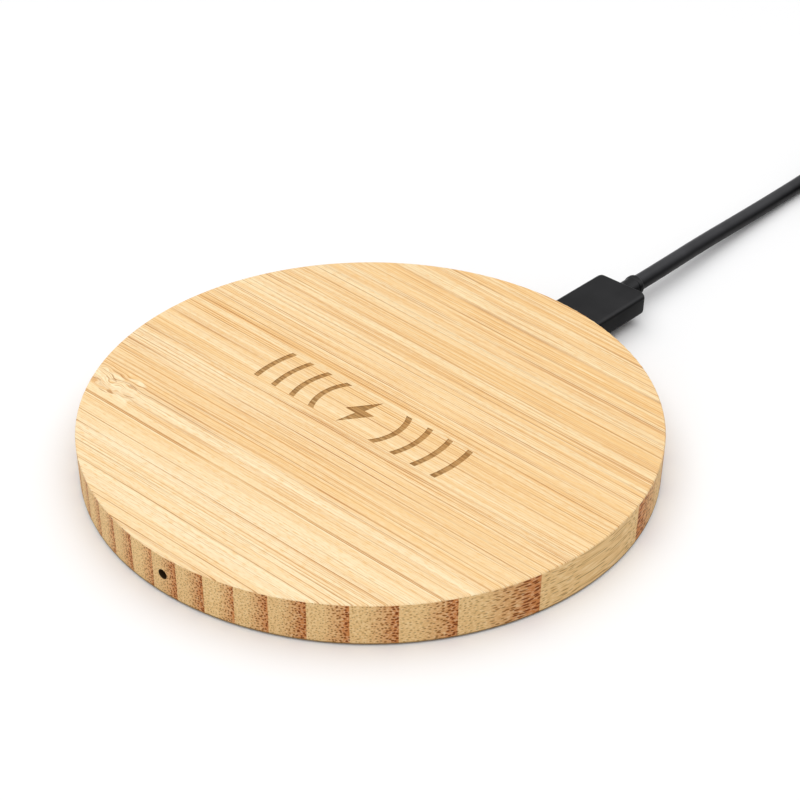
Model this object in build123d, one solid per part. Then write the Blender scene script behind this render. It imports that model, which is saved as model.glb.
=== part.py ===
"""Round bamboo wireless charging pad with a pull-out USB lead.

Units are millimetres. +Z is up and z = 0 is the surface the pad stands on. The Z axis is the pad's own
axis, and +Y points to the side where the lead plugs in. The coil of spare cord lies beyond the plug.
"""

import math
import os

from build123d import *

# ---- driving dimensions ------------------------------------------------------------------------------

PAD_RADIUS = 50.0
PAD_TOP = 8.0
BODY_LIFT = 0.2  # the anti-slip ring holds the wood this far off the table
VENEER = 0.6
TOP_EDGE_RADIUS = 0.2
BOTTOM_EDGE_CHAMFER = 0.15
CORE_TOP = PAD_TOP - VENEER

POCKET_RADIUS = 39.5
POCKET_ROOF = 6.7
COVER_RADIUS = 46.0
COVER_THICKNESS = 1.6
COVER_TOP = BODY_LIFT + COVER_THICKNESS
COVER_GAP = 0.2

RING_INNER = 40.5
RING_OUTER = 45.5
RING_SEAT = 0.75  # depth of the ring's groove in the cover

PORT_X = 4.0  # the plug and the indicator window share this line
PORT_Z = 4.2
SLOT_WIDTH = 12.1
SLOT_HEIGHT = 5.2
SLOT_DEPTH_Y = 44.6  # the slot for the plug's overmould ends here
CHANNEL_HALF_WIDTH = 6.3

WINDOW_RADIUS = 0.85
WINDOW_RECESS = 1.2

BOARD_RADIUS = 38.8
BOARD_BOTTOM = 1.95
BOARD_TOP = 2.75
BOARD_TAB_HALF_WIDTH = 6.0
BOARD_TAB_END = 44.4

POST_RADIUS = 3.0
POST_CIRCLE = 33.5
POST_ANGLES = (35, 145, 215, 325)
COVER_SCREW_CIRCLE = 43.0
COVER_SCREW_ANGLES = (45, 135, 225, 315)

COIL_OUTER = 22.0
COIL_INNER = 10.0
COIL_TOP = 6.6
COIL_BOTTOM = 5.4
FERRITE_RADIUS = 26.0
FERRITE_TOP = 5.3
FERRITE_BOTTOM = 4.5
LEAD_ANGLE = 60.0
LEAD_RADIUS = 0.4
LEAD_SPREAD = 0.7

MOUTH_Y = 44.8  # open end of the receptacle
RECEPTACLE_LENGTH = 7.4
RECEPTACLE_WIDTH = 8.94
RECEPTACLE_HEIGHT = 3.16
RECEPTACLE_WALL = 0.3
CAVITY_DEPTH = 6.6
TONGUE_WIDTH = 6.69
TONGUE_END = 43.9
CONTACT_PITCH = 0.5
CONTACT_COUNT = 12
CONTACT_WIDTH = 0.25

PLUG_FRONT = 45.0  # the overmould's front face
PLUG_END = 66.0
PLUG_TIP = 38.4
PLUG_WIDTH = 11.5
PLUG_HEIGHT = 4.6
PLUG_EDGE = 1.0
PLUG_CORNER = 0.8
PLUG_SHELL_WIDTH = 8.25
PLUG_SHELL_HEIGHT = 2.4
PLUG_SHELL_WALL = 0.25
PLUG_SHELL_END = 50.0
NECK_END = 70.6

CORD_RADIUS = 1.65
COIL_TURN_RADIUS = 17.5  # middle of the cord coil's turns
COIL_TURNS_PER_LAYER = 3.75
COIL_PITCH = 3.4
COIL_LIFT = 0.65  # the tie passes under the coil
COIL_X = 24.5
COIL_Y = 154.0

FAR_PLUG_X = 49.6
FAR_PLUG_Z = 4.05
FAR_RELIEF_START = 120.0
FAR_RELIEF_END = 110.0
FAR_BODY_END = 91.0
FAR_SHELL_TIP = 79.25

# ---- the cord's route --------------------------------------------------------------------------------

COIL_BAND = COIL_PITCH * COIL_TURNS_PER_LAYER  # width that one layer of turns takes up
COIL_OUTER_TURN = COIL_TURN_RADIUS + COIL_BAND / 2
COIL_LOW_Z = COIL_LIFT + CORD_RADIUS
COIL_HIGH_Z = COIL_LOW_Z + 2 * CORD_RADIUS
COIL_START = (COIL_X - COIL_OUTER_TURN, COIL_Y, COIL_LOW_Z)
COIL_FINISH = (COIL_X + COIL_OUTER_TURN, COIL_Y, COIL_HIGH_Z)

RUN_ROUTE = [
    (PORT_X, NECK_END, PORT_Z),
    (4.0, 80.0, PORT_Z),
    (3.1, 94.0, 3.5),
    (2.4, 112.0, 2.5),
    (1.75, 131.0, 1.85),
    (1.5, 144.0, 1.95),
    COIL_START,
]

TAIL_ROUTE = [
    COIL_FINISH,
    (47.4, 147.5, 5.2),
    (47.9, 140.5, 3.7),
    (48.8, 133.5, 2.9),
    (FAR_PLUG_X, 126.5, FAR_PLUG_Z),
    (FAR_PLUG_X, FAR_RELIEF_START, FAR_PLUG_Z),
]

# ---- helpers -----------------------------------------------------------------------------------------


def disc(radius, z_low, z_high, x=0.0, y=0.0):
    """An upright cylinder between two heights."""
    return Pos(x, y, (z_low + z_high) / 2) * Cylinder(radius, z_high - z_low)


def block(x_low, x_high, y_low, y_high, z_low, z_high):
    """A box between two corners."""
    centre = Pos((x_low + x_high) / 2, (y_low + y_high) / 2, (z_low + z_high) / 2)
    return centre * Box(x_high - x_low, y_high - y_low, z_high - z_low)


def prism(section, x, z, y_low, y_high):
    """A section drawn across and up, carried along Y between two places."""
    plane = Plane(origin=(x, y_high, z), x_dir=(1, 0, 0), z_dir=(0, -1, 0))
    return extrude(plane * section, y_high - y_low)


def rod(radius, x, z, y_low, y_high):
    """A round bar along Y."""
    return prism(Circle(radius), x, z, y_low, y_high)


def on_circle(radius, angle):
    """The x and y of a place on a circle about the pad's axis, from its angle in degrees."""
    return radius * math.cos(math.radians(angle)), radius * math.sin(math.radians(angle))


def corner_radii(points):
    """The largest tangent arc that each corner's two runs allow."""
    radii = []
    for before, corner, after in zip(points, points[1:], points[2:]):
        first = Vector(*corner) - Vector(*before)
        second = Vector(*after) - Vector(*corner)
        turn = math.radians(first.get_angle(second))
        radii.append(0.45 * min(first.length, second.length) / math.tan(turn / 2))
    return radii


def tube(points, radius, name):
    """A round bar along straight runs joined by tangent arcs, with its radii and volume printed."""
    radii = corner_radii(points)
    path = FilletPolyline(*points, radius=radii)
    section = Plane(path @ 0, z_dir=path % 0) * Circle(radius)
    solid = sweep(section, path=path)
    expected = math.pi * radius**2 * path.length
    print(name, "bend radii", [round(r, 1) for r in radii], "length", round(path.length, 1))
    print(name, "volume", round(solid.volume, 2), "section times length", round(expected, 2))
    return solid


def together(solids):
    """Separate pieces kept side by side in one node."""
    return Compound(children=[s for piece in solids for s in piece.solids()])


# ---- wooden body -------------------------------------------------------------------------------------

MARK_X = -0.7
MARK_Y = -2.1
MARK_DEPTH = 0.12
MARK_HEIGHT = 9.5
MARK_STROKE = 1.1
MARK_ARC_RADII = (8.6, 12.9, 17.2, 21.5)


def bolt_outline():
    """A plain lightning flash, as tall as the mark."""
    half = MARK_HEIGHT / 2
    right = [(1.2, half), (0.45, 0.75), (2.7, 0.75)]
    left = [(-x, -y) for x, y in right]
    return make_face(Polyline(*right, *left, close=True))


def wave_outline(radius):
    """One pair of arcs, one each side of the flash, cut off at the mark's height."""
    ring = Circle(radius + MARK_STROKE / 2) - Circle(radius - MARK_STROKE / 2)
    return ring & Rectangle(4 * radius, MARK_HEIGHT)


def engraved_mark():
    """The shallow recess of the engraving, as a solid to take away from the face."""
    outline = bolt_outline()
    for radius in MARK_ARC_RADII:
        outline += wave_outline(radius)
    return extrude(Pos(MARK_X, MARK_Y, PAD_TOP - MARK_DEPTH) * outline, 2 * MARK_DEPTH)


def face_veneer():
    """The crosswise bamboo layer that a phone lies on."""
    sheet = disc(PAD_RADIUS, CORE_TOP, PAD_TOP)
    sheet = fillet(sheet.edges().sort_by(Axis.Z)[-1], TOP_EDGE_RADIUS)
    return sheet - engraved_mark()


def port_slot():
    """The opening in the rim that takes the plug's overmould."""
    section = RectangleRounded(SLOT_WIDTH, SLOT_HEIGHT, PLUG_EDGE + 0.3)
    return prism(section, PORT_X, PORT_Z, SLOT_DEPTH_Y - 1, PAD_RADIUS + 1)


def receptacle_channel():
    """The way milled through the rim's inner part for the receptacle and the board's tab."""
    return block(
        PORT_X - CHANNEL_HALF_WIDTH,
        PORT_X + CHANNEL_HALF_WIDTH,
        POCKET_RADIUS - 4,
        SLOT_DEPTH_Y,
        COVER_TOP,
        POCKET_ROOF,
    )


def bamboo_core():
    """The laminated body, milled from below: cover seat, pocket, posts, port and indicator window."""
    core = disc(PAD_RADIUS, BODY_LIFT, CORE_TOP)
    core = chamfer(core.edges().sort_by(Axis.Z)[0], BOTTOM_EDGE_CHAMFER)
    core -= disc(COVER_RADIUS + COVER_GAP, BODY_LIFT - 1, COVER_TOP)
    core -= disc(POCKET_RADIUS, COVER_TOP - 1, POCKET_ROOF)
    core -= receptacle_channel()
    for angle in POST_ANGLES:
        x, y = on_circle(POST_CIRCLE, angle)
        core += disc(POST_RADIUS, BOARD_TOP, POCKET_ROOF + 0.1, x, y)
        core -= disc(BOARD_SCREW_RADIUS, BOARD_TOP - 1, BOARD_TOP + BOARD_SCREW_BITE, x, y)
    for angle in COVER_SCREW_ANGLES:
        x, y = on_circle(COVER_SCREW_CIRCLE, angle)
        core -= disc(COVER_SCREW_RADIUS, COVER_TOP - 1, COVER_TOP + COVER_SCREW_BITE, x, y)
    core -= port_slot()
    core -= rod(WINDOW_RADIUS, PORT_X, PORT_Z, -PAD_RADIUS - 1, -POCKET_RADIUS + 1)
    return core


# ---- underside ---------------------------------------------------------------------------------------

COVER_SCREW_RADIUS = 0.9
COVER_SCREW_BITE = 3.2
COVER_SCREW_HEAD = 1.7
BOARD_SCREW_RADIUS = 0.7
BOARD_SCREW_BITE = 2.8
BOARD_SCREW_HEAD = 1.3
BOARD_SCREW_HEAD_HEIGHT = 0.6
DRIVE_RADIUS = 0.75
HEAD_POCKET_RADIUS = 2.0
HEAD_POCKET_DEPTH = 0.75
RIB_INNER = 14.0
RIB_OUTER = 15.2


def groove_floor():
    """Height of the floor of the ring's groove, where the cover screws' heads are flush."""
    return BODY_LIFT + RING_SEAT


def bottom_cover():
    """The moulded disc that closes the pocket, with a groove for the ring over its screws."""
    cover = disc(COVER_RADIUS, BODY_LIFT, COVER_TOP)
    cover -= disc(RING_OUTER, BODY_LIFT - 1, groove_floor()) - disc(RING_INNER, BODY_LIFT - 1, groove_floor())
    for angle in COVER_SCREW_ANGLES:
        x, y = on_circle(COVER_SCREW_CIRCLE, angle)
        cover -= screw_blank(x, y, 0.0)
    for angle in POST_ANGLES:
        x, y = on_circle(POST_CIRCLE, angle)
        cover -= disc(HEAD_POCKET_RADIUS, COVER_TOP - HEAD_POCKET_DEPTH, COVER_TOP + 1, x, y)
    cover -= disc(RIB_OUTER, BODY_LIFT - 1, BODY_LIFT + 0.3) - disc(RIB_INNER, BODY_LIFT - 1, BODY_LIFT + 0.3)
    return cover


def anti_slip_ring():
    """The silicone ring that the pad stands on."""
    ring = disc(RING_OUTER, 0, groove_floor()) - disc(RING_INNER, 0, groove_floor())
    return fillet(ring.edges().group_by(Axis.Z)[0], 0.15)


def screw_blank(x, y, drive_depth):
    """A countersunk cover screw, and its cross slot when a depth is given."""
    head_low = groove_floor()
    head_height = COVER_SCREW_HEAD - COVER_SCREW_RADIUS
    head = Pos(x, y, head_low + head_height / 2) * Cone(COVER_SCREW_HEAD, COVER_SCREW_RADIUS, head_height)
    shank = disc(COVER_SCREW_RADIUS, head_low, COVER_TOP + COVER_SCREW_BITE, x, y)
    screw = head + shank
    if drive_depth:
        for along_x, along_y in ((DRIVE_RADIUS, 0.15), (0.15, DRIVE_RADIUS)):
            screw -= block(x - along_x, x + along_x, y - along_y, y + along_y, 0, head_low + drive_depth)
    return screw


def cover_screws():
    """The screws that hold the cover to the wooden rim, under the ring."""
    return together(screw_blank(*on_circle(COVER_SCREW_CIRCLE, a), 0.4) for a in COVER_SCREW_ANGLES)


def board_screw(x, y):
    """A pan-head screw through the board into its post."""
    head_low = BOARD_BOTTOM - BOARD_SCREW_HEAD_HEIGHT
    head = disc(BOARD_SCREW_HEAD, head_low, BOARD_BOTTOM, x, y)
    head = fillet(head.edges().sort_by(Axis.Z)[0], 0.25)
    screw = head + disc(BOARD_SCREW_RADIUS, head_low + 0.3, BOARD_TOP + BOARD_SCREW_BITE, x, y)
    for along_x, along_y in ((0.6, 0.12), (0.12, 0.6)):
        screw -= block(x - along_x, x + along_x, y - along_y, y + along_y, 0, head_low + 0.3)
    return screw


def board_screws():
    """The screws that hold the board to the four wooden posts."""
    return together(board_screw(*on_circle(POST_CIRCLE, a)) for a in POST_ANGLES)


# ---- main board and its components -------------------------------------------------------------------

CONTROLLER_SIDE = 5.0
CONTROLLER_HEIGHT = 0.85
DRIVER_SIDE = 3.3
DRIVER_PLACES = ((12.0, 20.0), (12.0, 14.5))
RESONANT_SIZE = (3.2, 2.5, 1.5)
RESONANT_PLACES = ((-14.0, 20.5), (-14.0, 17.0), (-18.0, 20.5), (-18.0, 17.0))
INDUCTOR_PLACE = (-14.0, 30.5)
INDUCTOR_SIDE = 6.0
INDUCTOR_HEIGHT = 3.0
CHIP_SIZE = (1.6, 0.8, 0.8)
RESISTOR_SIZE = (1.6, 0.8, 0.45)
CRYSTAL_SIZE = (3.2, 2.5, 0.7)
CRYSTAL_PLACE = (-8.0, -6.0)
HOLDER_SIZE = (3.0, 2.6, 2.9)
HOLDER_FRONT = -38.2
LIGHT_RADIUS = 0.9
THERMISTOR_RADIUS = 0.9


def standing(size, x, y):
    """A rectangular component standing on the board, centred on a place."""
    width, depth, height = size
    return Pos(x, y, BOARD_TOP + height / 2) * Box(width, depth, height)


def main_board():
    """The round circuit board, with a tab into the rim that carries the receptacle."""
    board = disc(BOARD_RADIUS, BOARD_BOTTOM, BOARD_TOP)
    tab = (PORT_X - BOARD_TAB_HALF_WIDTH, PORT_X + BOARD_TAB_HALF_WIDTH)
    board += block(*tab, BOARD_RADIUS - 3, BOARD_TAB_END, BOARD_BOTTOM, BOARD_TOP)
    notch = RECEPTACLE_WIDTH / 2 + 0.1
    board -= block(
        PORT_X - notch,
        PORT_X + notch,
        MOUTH_Y - RECEPTACLE_LENGTH - 0.1,
        BOARD_TAB_END + 1,
        BOARD_BOTTOM - 1,
        BOARD_TOP + 1,
    )
    for angle in POST_ANGLES:
        x, y = on_circle(POST_CIRCLE, angle)
        board -= disc(BOARD_SCREW_RADIUS + 0.1, BOARD_BOTTOM - 1, BOARD_TOP + 1, x, y)
    return board


def controller_chip():
    """The square controller, with its pin-one dimple."""
    chip = standing((CONTROLLER_SIDE, CONTROLLER_SIDE, CONTROLLER_HEIGHT), 0, 4)
    top = BOARD_TOP + CONTROLLER_HEIGHT
    return chip - disc(0.3, top - 0.1, top + 1, -CONTROLLER_SIDE / 2 + 0.8, 4 + CONTROLLER_SIDE / 2 - 0.8)


def bridge_drivers():
    """The two power stages that drive the coil."""
    return together(standing((DRIVER_SIDE, DRIVER_SIDE, 0.8), x, y) for x, y in DRIVER_PLACES)


def resonant_capacitors():
    """The block of film-grade chip capacitors in series with the coil."""
    return together(standing(RESONANT_SIZE, x, y) for x, y in RESONANT_PLACES)


def power_inductor():
    """The shielded inductor of the supply filter, beside the ferrite where there is height for it."""
    x, y = INDUCTOR_PLACE
    body = standing((INDUCTOR_SIDE, INDUCTOR_SIDE, INDUCTOR_HEIGHT), x, y)
    body = chamfer(body.edges().filter_by(Axis.Z), 1.0)
    return fillet(body.edges().group_by(Axis.Z)[-1], 0.3)


def chip_row(size, x_start, y, count, pitch=2.4):
    """A row of small chip parts along X."""
    return [standing(size, x_start + pitch * i, y) for i in range(count)]


def chip_capacitors():
    """Two rows of decoupling capacitors."""
    return together(chip_row(CHIP_SIZE, -8, 10, 6) + chip_row(CHIP_SIZE, -10, -12, 6))


def chip_resistors():
    """Three rows of chip resistors."""
    rows = chip_row(RESISTOR_SIZE, -4, -2, 5) + chip_row(RESISTOR_SIZE, -6, -16, 6)
    return together(rows + chip_row(RESISTOR_SIZE, -2, -33, 4))


def clock_crystal():
    """The metal-lidded crystal by the controller."""
    crystal = standing(CRYSTAL_SIZE, *CRYSTAL_PLACE)
    return fillet(crystal.edges().filter_by(Axis.Z), 0.3)


def light_holder():
    """The right-angle holder that brings the status light up to the window's height."""
    width, depth, height = HOLDER_SIZE
    body = standing(HOLDER_SIZE, PORT_X, HOLDER_FRONT + depth / 2)
    return body - rod(LIGHT_RADIUS, PORT_X, PORT_Z, HOLDER_FRONT - 1, HOLDER_FRONT + depth / 2)


def status_light():
    """The small round light in its holder, with a domed end."""
    depth = HOLDER_SIZE[1] / 2
    body = rod(LIGHT_RADIUS, PORT_X, PORT_Z, HOLDER_FRONT - 0.4, HOLDER_FRONT + depth)
    return fillet(body.edges().sort_by(Axis.Y)[0], 0.5)


def light_pipe():
    """The clear rod that carries the light out to the window, ending short of the side."""
    end = -math.sqrt(PAD_RADIUS**2 - PORT_X**2) + WINDOW_RECESS
    pipe = rod(WINDOW_RADIUS, PORT_X, PORT_Z, end, HOLDER_FRONT - 0.8)
    return fillet(pipe.edges().sort_by(Axis.Y)[0], 0.3)


# ---- coil stack --------------------------------------------------------------------------------------


def coil_adhesive():
    """The thin tape that holds the coil to the pocket's roof."""
    return disc(COIL_OUTER, COIL_TOP, POCKET_ROOF) - disc(COIL_INNER, COIL_TOP, POCKET_ROOF)


def charging_coil():
    """The flat winding of stranded wire, as the ring its turns fill."""
    coil = disc(COIL_OUTER, COIL_BOTTOM, COIL_TOP) - disc(COIL_INNER, COIL_BOTTOM, COIL_TOP)
    return fillet(coil.edges().filter_by(GeomType.CIRCLE), 0.3)


def lead_slot(z_low, z_high):
    """The slot under the coil that its two leads lie in, from near the middle out past the edge."""
    half = LEAD_SPREAD + LEAD_RADIUS + 0.2
    slot = block(COIL_INNER - 2, FERRITE_RADIUS + 1, -half, half, z_low, z_high)
    return Rot(0, 0, LEAD_ANGLE) * slot


def ferrite_adhesive():
    """The thin tape between the coil and the ferrite."""
    tape = disc(COIL_OUTER, FERRITE_TOP, COIL_BOTTOM)
    return tape - lead_slot(FERRITE_TOP - 1, COIL_BOTTOM + 1)


def ferrite_sheet():
    """The dark shield that keeps the coil's field off the board."""
    sheet = disc(FERRITE_RADIUS, FERRITE_BOTTOM, FERRITE_TOP)
    return sheet - lead_slot(FERRITE_BOTTOM - 1, FERRITE_TOP + 1)


def coil_lead(start, side):
    """One lead, from under the winding out past the ferrite and down to the board."""
    z = FERRITE_TOP - LEAD_RADIUS - 0.05
    knee = FERRITE_RADIUS + 2.5
    points = [(start, side, z), (knee, side, z), (knee, side, BOARD_TOP)]
    path = FilletPolyline(*points, radius=1.0)
    wire = sweep(Plane(path @ 0, z_dir=path % 0) * Circle(LEAD_RADIUS), path=path)
    return Rot(0, 0, LEAD_ANGLE) * wire


def coil_leads():
    """The coil's inner and outer leads, side by side in the ferrite's slot."""
    return together([coil_lead(COIL_INNER + 1, -LEAD_SPREAD), coil_lead(COIL_OUTER - 1, LEAD_SPREAD)])


def thermistor():
    """The glass bead that watches the temperature under the middle of the coil."""
    bead = Pos(0, 0, FERRITE_BOTTOM - THERMISTOR_RADIUS) * Sphere(THERMISTOR_RADIUS)
    leads = block(-0.6, -0.4, -0.1, 0.1, BOARD_TOP, FERRITE_BOTTOM - THERMISTOR_RADIUS)
    leads += block(0.4, 0.6, -0.1, 0.1, BOARD_TOP, FERRITE_BOTTOM - THERMISTOR_RADIUS)
    return bead + leads


# ---- receptacle --------------------------------------------------------------------------------------

BACK_Y = MOUTH_Y - RECEPTACLE_LENGTH
CAVITY_END = MOUTH_Y - CAVITY_DEPTH
TONGUE_THICKNESS = 0.7
STRIP = 0.12
TAIL_UPPER_Y = BACK_Y - 1.1
TAIL_LOWER_Y = BACK_Y - 0.5
SHELL_TAB_PLACES = (39.5, 43.0)


def contact_places():
    """The x of each contact, evenly about the port's middle."""
    first = PORT_X - CONTACT_PITCH * (CONTACT_COUNT - 1) / 2
    return [first + CONTACT_PITCH * i for i in range(CONTACT_COUNT)]


def receptacle_opening():
    """The section of the receptacle's hollow."""
    return SlotOverall(RECEPTACLE_WIDTH - 2 * RECEPTACLE_WALL, RECEPTACLE_HEIGHT - 2 * RECEPTACLE_WALL)


def receptacle_shell():
    """The drawn steel shell, with four tabs soldered to the board's arms."""
    outer = SlotOverall(RECEPTACLE_WIDTH, RECEPTACLE_HEIGHT)
    shell = prism(outer - receptacle_opening(), PORT_X, PORT_Z, BACK_Y, MOUTH_Y)
    for y in SHELL_TAB_PLACES:
        for side in (-1, 1):
            near, far = sorted((PORT_X + 3.6 * side, PORT_X + 5.6 * side))
            shell += block(near, far, y - 0.6, y + 0.6, BOARD_TOP, BOARD_TOP + RECEPTACLE_WALL)
    return shell


def receptacle_strip(x, upper):
    """One contact: a strip along the tongue, out at the back and down to the board."""
    top = PORT_Z + TONGUE_THICKNESS / 2 if upper else PORT_Z - TONGUE_THICKNESS / 2 + STRIP
    tail = TAIL_UPPER_Y if upper else TAIL_LOWER_Y
    sides = (x - CONTACT_WIDTH / 2, x + CONTACT_WIDTH / 2)
    strip = block(*sides, tail, TONGUE_END - 0.6, top - STRIP, top)
    return strip + block(*sides, tail, tail + STRIP, BOARD_TOP, top)


def receptacle_contact_list():
    """Both rows of contacts."""
    return [receptacle_strip(x, upper) for upper in (True, False) for x in contact_places()]


def receptacle_contacts():
    """The receptacle's gold-plated contacts."""
    return together(receptacle_contact_list())


def receptacle_tongue():
    """The moulded base and the thin tongue that the plug slides over."""
    base = prism(receptacle_opening(), PORT_X, PORT_Z, BACK_Y, CAVITY_END)
    tongue = prism(
        Rectangle(TONGUE_WIDTH, TONGUE_THICKNESS), PORT_X, PORT_Z, CAVITY_END - 0.2, TONGUE_END
    )
    tongue = fillet(tongue.edges().filter_by(Axis.Z).sort_by(Axis.Y)[-2:], 0.5)
    body = base + tongue
    for strip in receptacle_contact_list():
        body -= strip
    return body


# ---- plug --------------------------------------------------------------------------------------------

CARD_WIDTH = 6.6
CARD_THICKNESS = 0.6
CARD_START = 46.4
CARD_END = 54.0
PLUG_CAVITY_WIDTH = 6.85
PLUG_CAVITY_HEIGHT = 1.0
PLUG_CAVITY_END = 44.4
INSULATOR_END = CARD_START
PLUG_STRIP = 0.1


def plug_shell_outline():
    """The section of the plug shell's outside."""
    return SlotOverall(PLUG_SHELL_WIDTH, PLUG_SHELL_HEIGHT)


def plug_bore_outline():
    """The section of the plug shell's inside."""
    return SlotOverall(PLUG_SHELL_WIDTH - 2 * PLUG_SHELL_WALL, PLUG_SHELL_HEIGHT - 2 * PLUG_SHELL_WALL)


def plug_shell():
    """The drawn steel shell, from the plug's tip back into its overmould."""
    return prism(plug_shell_outline() - plug_bore_outline(), PORT_X, PORT_Z, PLUG_TIP, PLUG_SHELL_END)


def plug_insulator():
    """The moulded core of the plug, hollow where it takes the receptacle's tongue."""
    core = prism(plug_bore_outline(), PORT_X, PORT_Z, PLUG_TIP + 0.15, INSULATOR_END)
    hollow = Rectangle(PLUG_CAVITY_WIDTH, PLUG_CAVITY_HEIGHT)
    return core - prism(hollow, PORT_X, PORT_Z, PLUG_TIP - 1, PLUG_CAVITY_END)


def plug_contacts():
    """The strips on both walls of the plug's hollow."""
    strips = []
    for x in contact_places():
        for side in (-1, 1):
            low, high = sorted(
                (
                    PORT_Z + side * (PLUG_CAVITY_HEIGHT / 2 - PLUG_STRIP),
                    PORT_Z + side * PLUG_CAVITY_HEIGHT / 2,
                )
            )
            sides = (x - CONTACT_WIDTH / 2, x + CONTACT_WIDTH / 2)
            strips.append(block(*sides, PLUG_TIP + 1.0, PLUG_CAVITY_END, low, high))
    return together(strips)


def plug_board():
    """The little board inside the overmould that joins the contacts to the cord."""
    half = CARD_WIDTH / 2
    half_thickness = CARD_THICKNESS / 2
    return block(
        PORT_X - half,
        PORT_X + half,
        CARD_START,
        CARD_END,
        PORT_Z - half_thickness,
        PORT_Z + half_thickness,
    )


def plug_overmould():
    """The flat moulded grip: rounded long edges and corners, hollow round the shell and board."""
    body = prism(
        RectangleRounded(PLUG_WIDTH, PLUG_HEIGHT, PLUG_EDGE), PORT_X, PORT_Z, PLUG_FRONT, PLUG_END
    )
    corners = RectangleRounded(PLUG_WIDTH, 2 * (PLUG_END - PLUG_FRONT), PLUG_CORNER)
    plan = Pos(PORT_X, PLUG_FRONT, PORT_Z - PLUG_HEIGHT) * extrude(corners, 2 * PLUG_HEIGHT)
    body = body & plan
    body -= prism(plug_shell_outline(), PORT_X, PORT_Z, PLUG_FRONT - 1, PLUG_SHELL_END)
    cavity = Rectangle(CARD_WIDTH + 0.2, CARD_THICKNESS + 0.9)
    return body - prism(cavity, PORT_X, PORT_Z, PLUG_SHELL_END - 0.1, CARD_END + 0.2)


def plug_strain_relief():
    """The short round neck with a collar where the cord comes out."""
    neck = rod(1.9, PORT_X, PORT_Z, PLUG_END, NECK_END - 1.0)
    collar = rod(2.1, PORT_X, PORT_Z, NECK_END - 1.2, NECK_END)
    collar = fillet(collar.edges(), 0.25)
    return neck + collar


# ---- cord --------------------------------------------------------------------------------------------

TIE_WIDTH = 6.0
TIE_THICKNESS = 0.6
TIE_ANGLE = 80.0
TIE_GAP = 0.05


def cord_run():
    """The cord from the plug to the coil."""
    return tube(RUN_ROUTE, CORD_RADIUS, "cord_run")


def cord_tail():
    """The cord from the coil to the far plug."""
    return tube(TAIL_ROUTE, CORD_RADIUS, "cord_tail")


def coil_edges():
    """The inner and outer radius and the lowest and highest point of the coiled cord."""
    inner = COIL_TURN_RADIUS - COIL_BAND / 2 - CORD_RADIUS
    outer = COIL_OUTER_TURN + CORD_RADIUS
    return inner, outer, COIL_LOW_Z - CORD_RADIUS, COIL_HIGH_Z + CORD_RADIUS


def cord_coil():
    """The spare cord, as the closed ring that its two layers of turns fill."""
    inner, outer, low, high = coil_edges()
    ring = disc(outer, low, high) - disc(inner, low, high)
    ring = fillet(ring.edges().filter_by(GeomType.CIRCLE), CORD_RADIUS * 0.9)
    return Pos(COIL_X, COIL_Y, 0) * ring


def cord_tie():
    """The strap round the coil, a closed loop with a rounded outside."""
    inner, outer, low, high = coil_edges()
    near = math.sqrt(inner**2 - (TIE_WIDTH / 2) ** 2) - TIE_GAP
    far = outer + TIE_GAP
    hole = block(near, far, -TIE_WIDTH, TIE_WIDTH, low - 0.01, high + TIE_GAP)
    strap = block(
        near - TIE_THICKNESS,
        far + TIE_THICKNESS,
        -TIE_WIDTH / 2,
        TIE_WIDTH / 2,
        low - 0.01 - TIE_THICKNESS,
        high + TIE_GAP + TIE_THICKNESS,
    )
    strap = fillet(strap.edges().filter_by(Axis.Y), 1.4)
    hole = fillet(hole.edges().filter_by(Axis.Y), 0.8)
    return Pos(COIL_X, COIL_Y, 0) * Rot(0, 0, TIE_ANGLE) * (strap - hole)


# ---- far plug ----------------------------------------------------------------------------------------

FAR_WIDTH = 15.6
FAR_HEIGHT = 8.0
FAR_SHELL_WIDTH = 12.0
FAR_SHELL_HEIGHT = 4.5
FAR_SHELL_WALL = 0.3
FAR_SHELL_IN = 4.0
FAR_TONGUE_WIDTH = 11.1
FAR_TONGUE_THICKNESS = 1.9
FAR_WINDOW = 2.5
FAR_CONTACTS = (-3.5, -1.0, 1.0, 3.5)


def far_strain_relief():
    """The ribbed taper behind the far plug."""
    steps = 5
    length = (FAR_RELIEF_START - FAR_RELIEF_END) / steps
    body = rod(CORD_RADIUS + 0.25, FAR_PLUG_X, FAR_PLUG_Z, FAR_RELIEF_END, FAR_RELIEF_START)
    for i in range(steps):
        start = FAR_RELIEF_END + i * length
        radius = 3.2 - 0.25 * i
        body += rod(radius, FAR_PLUG_X, FAR_PLUG_Z, start, start + 0.6 * length)
    return body


def far_overmould():
    """The far plug's moulded grip."""
    body = prism(
        RectangleRounded(FAR_WIDTH, FAR_HEIGHT, 1.5), FAR_PLUG_X, FAR_PLUG_Z, FAR_BODY_END, FAR_RELIEF_END
    )
    body = fillet(body.faces().sort_by(Axis.Y)[-1].edges(), 0.8)
    shell = Rectangle(FAR_SHELL_WIDTH, FAR_SHELL_HEIGHT)
    return body - prism(shell, FAR_PLUG_X, FAR_PLUG_Z, FAR_BODY_END - 1, FAR_BODY_END + FAR_SHELL_IN)


def far_shell():
    """The flat steel shell with its four latch windows."""
    outer = RectangleRounded(FAR_SHELL_WIDTH, FAR_SHELL_HEIGHT, 0.45)
    inner = Rectangle(FAR_SHELL_WIDTH - 2 * FAR_SHELL_WALL, FAR_SHELL_HEIGHT - 2 * FAR_SHELL_WALL)
    shell = prism(outer - inner, FAR_PLUG_X, FAR_PLUG_Z, FAR_SHELL_TIP, FAR_BODY_END + FAR_SHELL_IN)
    middle = FAR_SHELL_TIP + 6.4
    half = FAR_WINDOW / 2
    for x in (FAR_PLUG_X - 2.9, FAR_PLUG_X + 2.9):
        shell -= block(x - half, x + half, middle - half, middle + half, 0, FAR_PLUG_Z * 2)
    return shell


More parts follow.
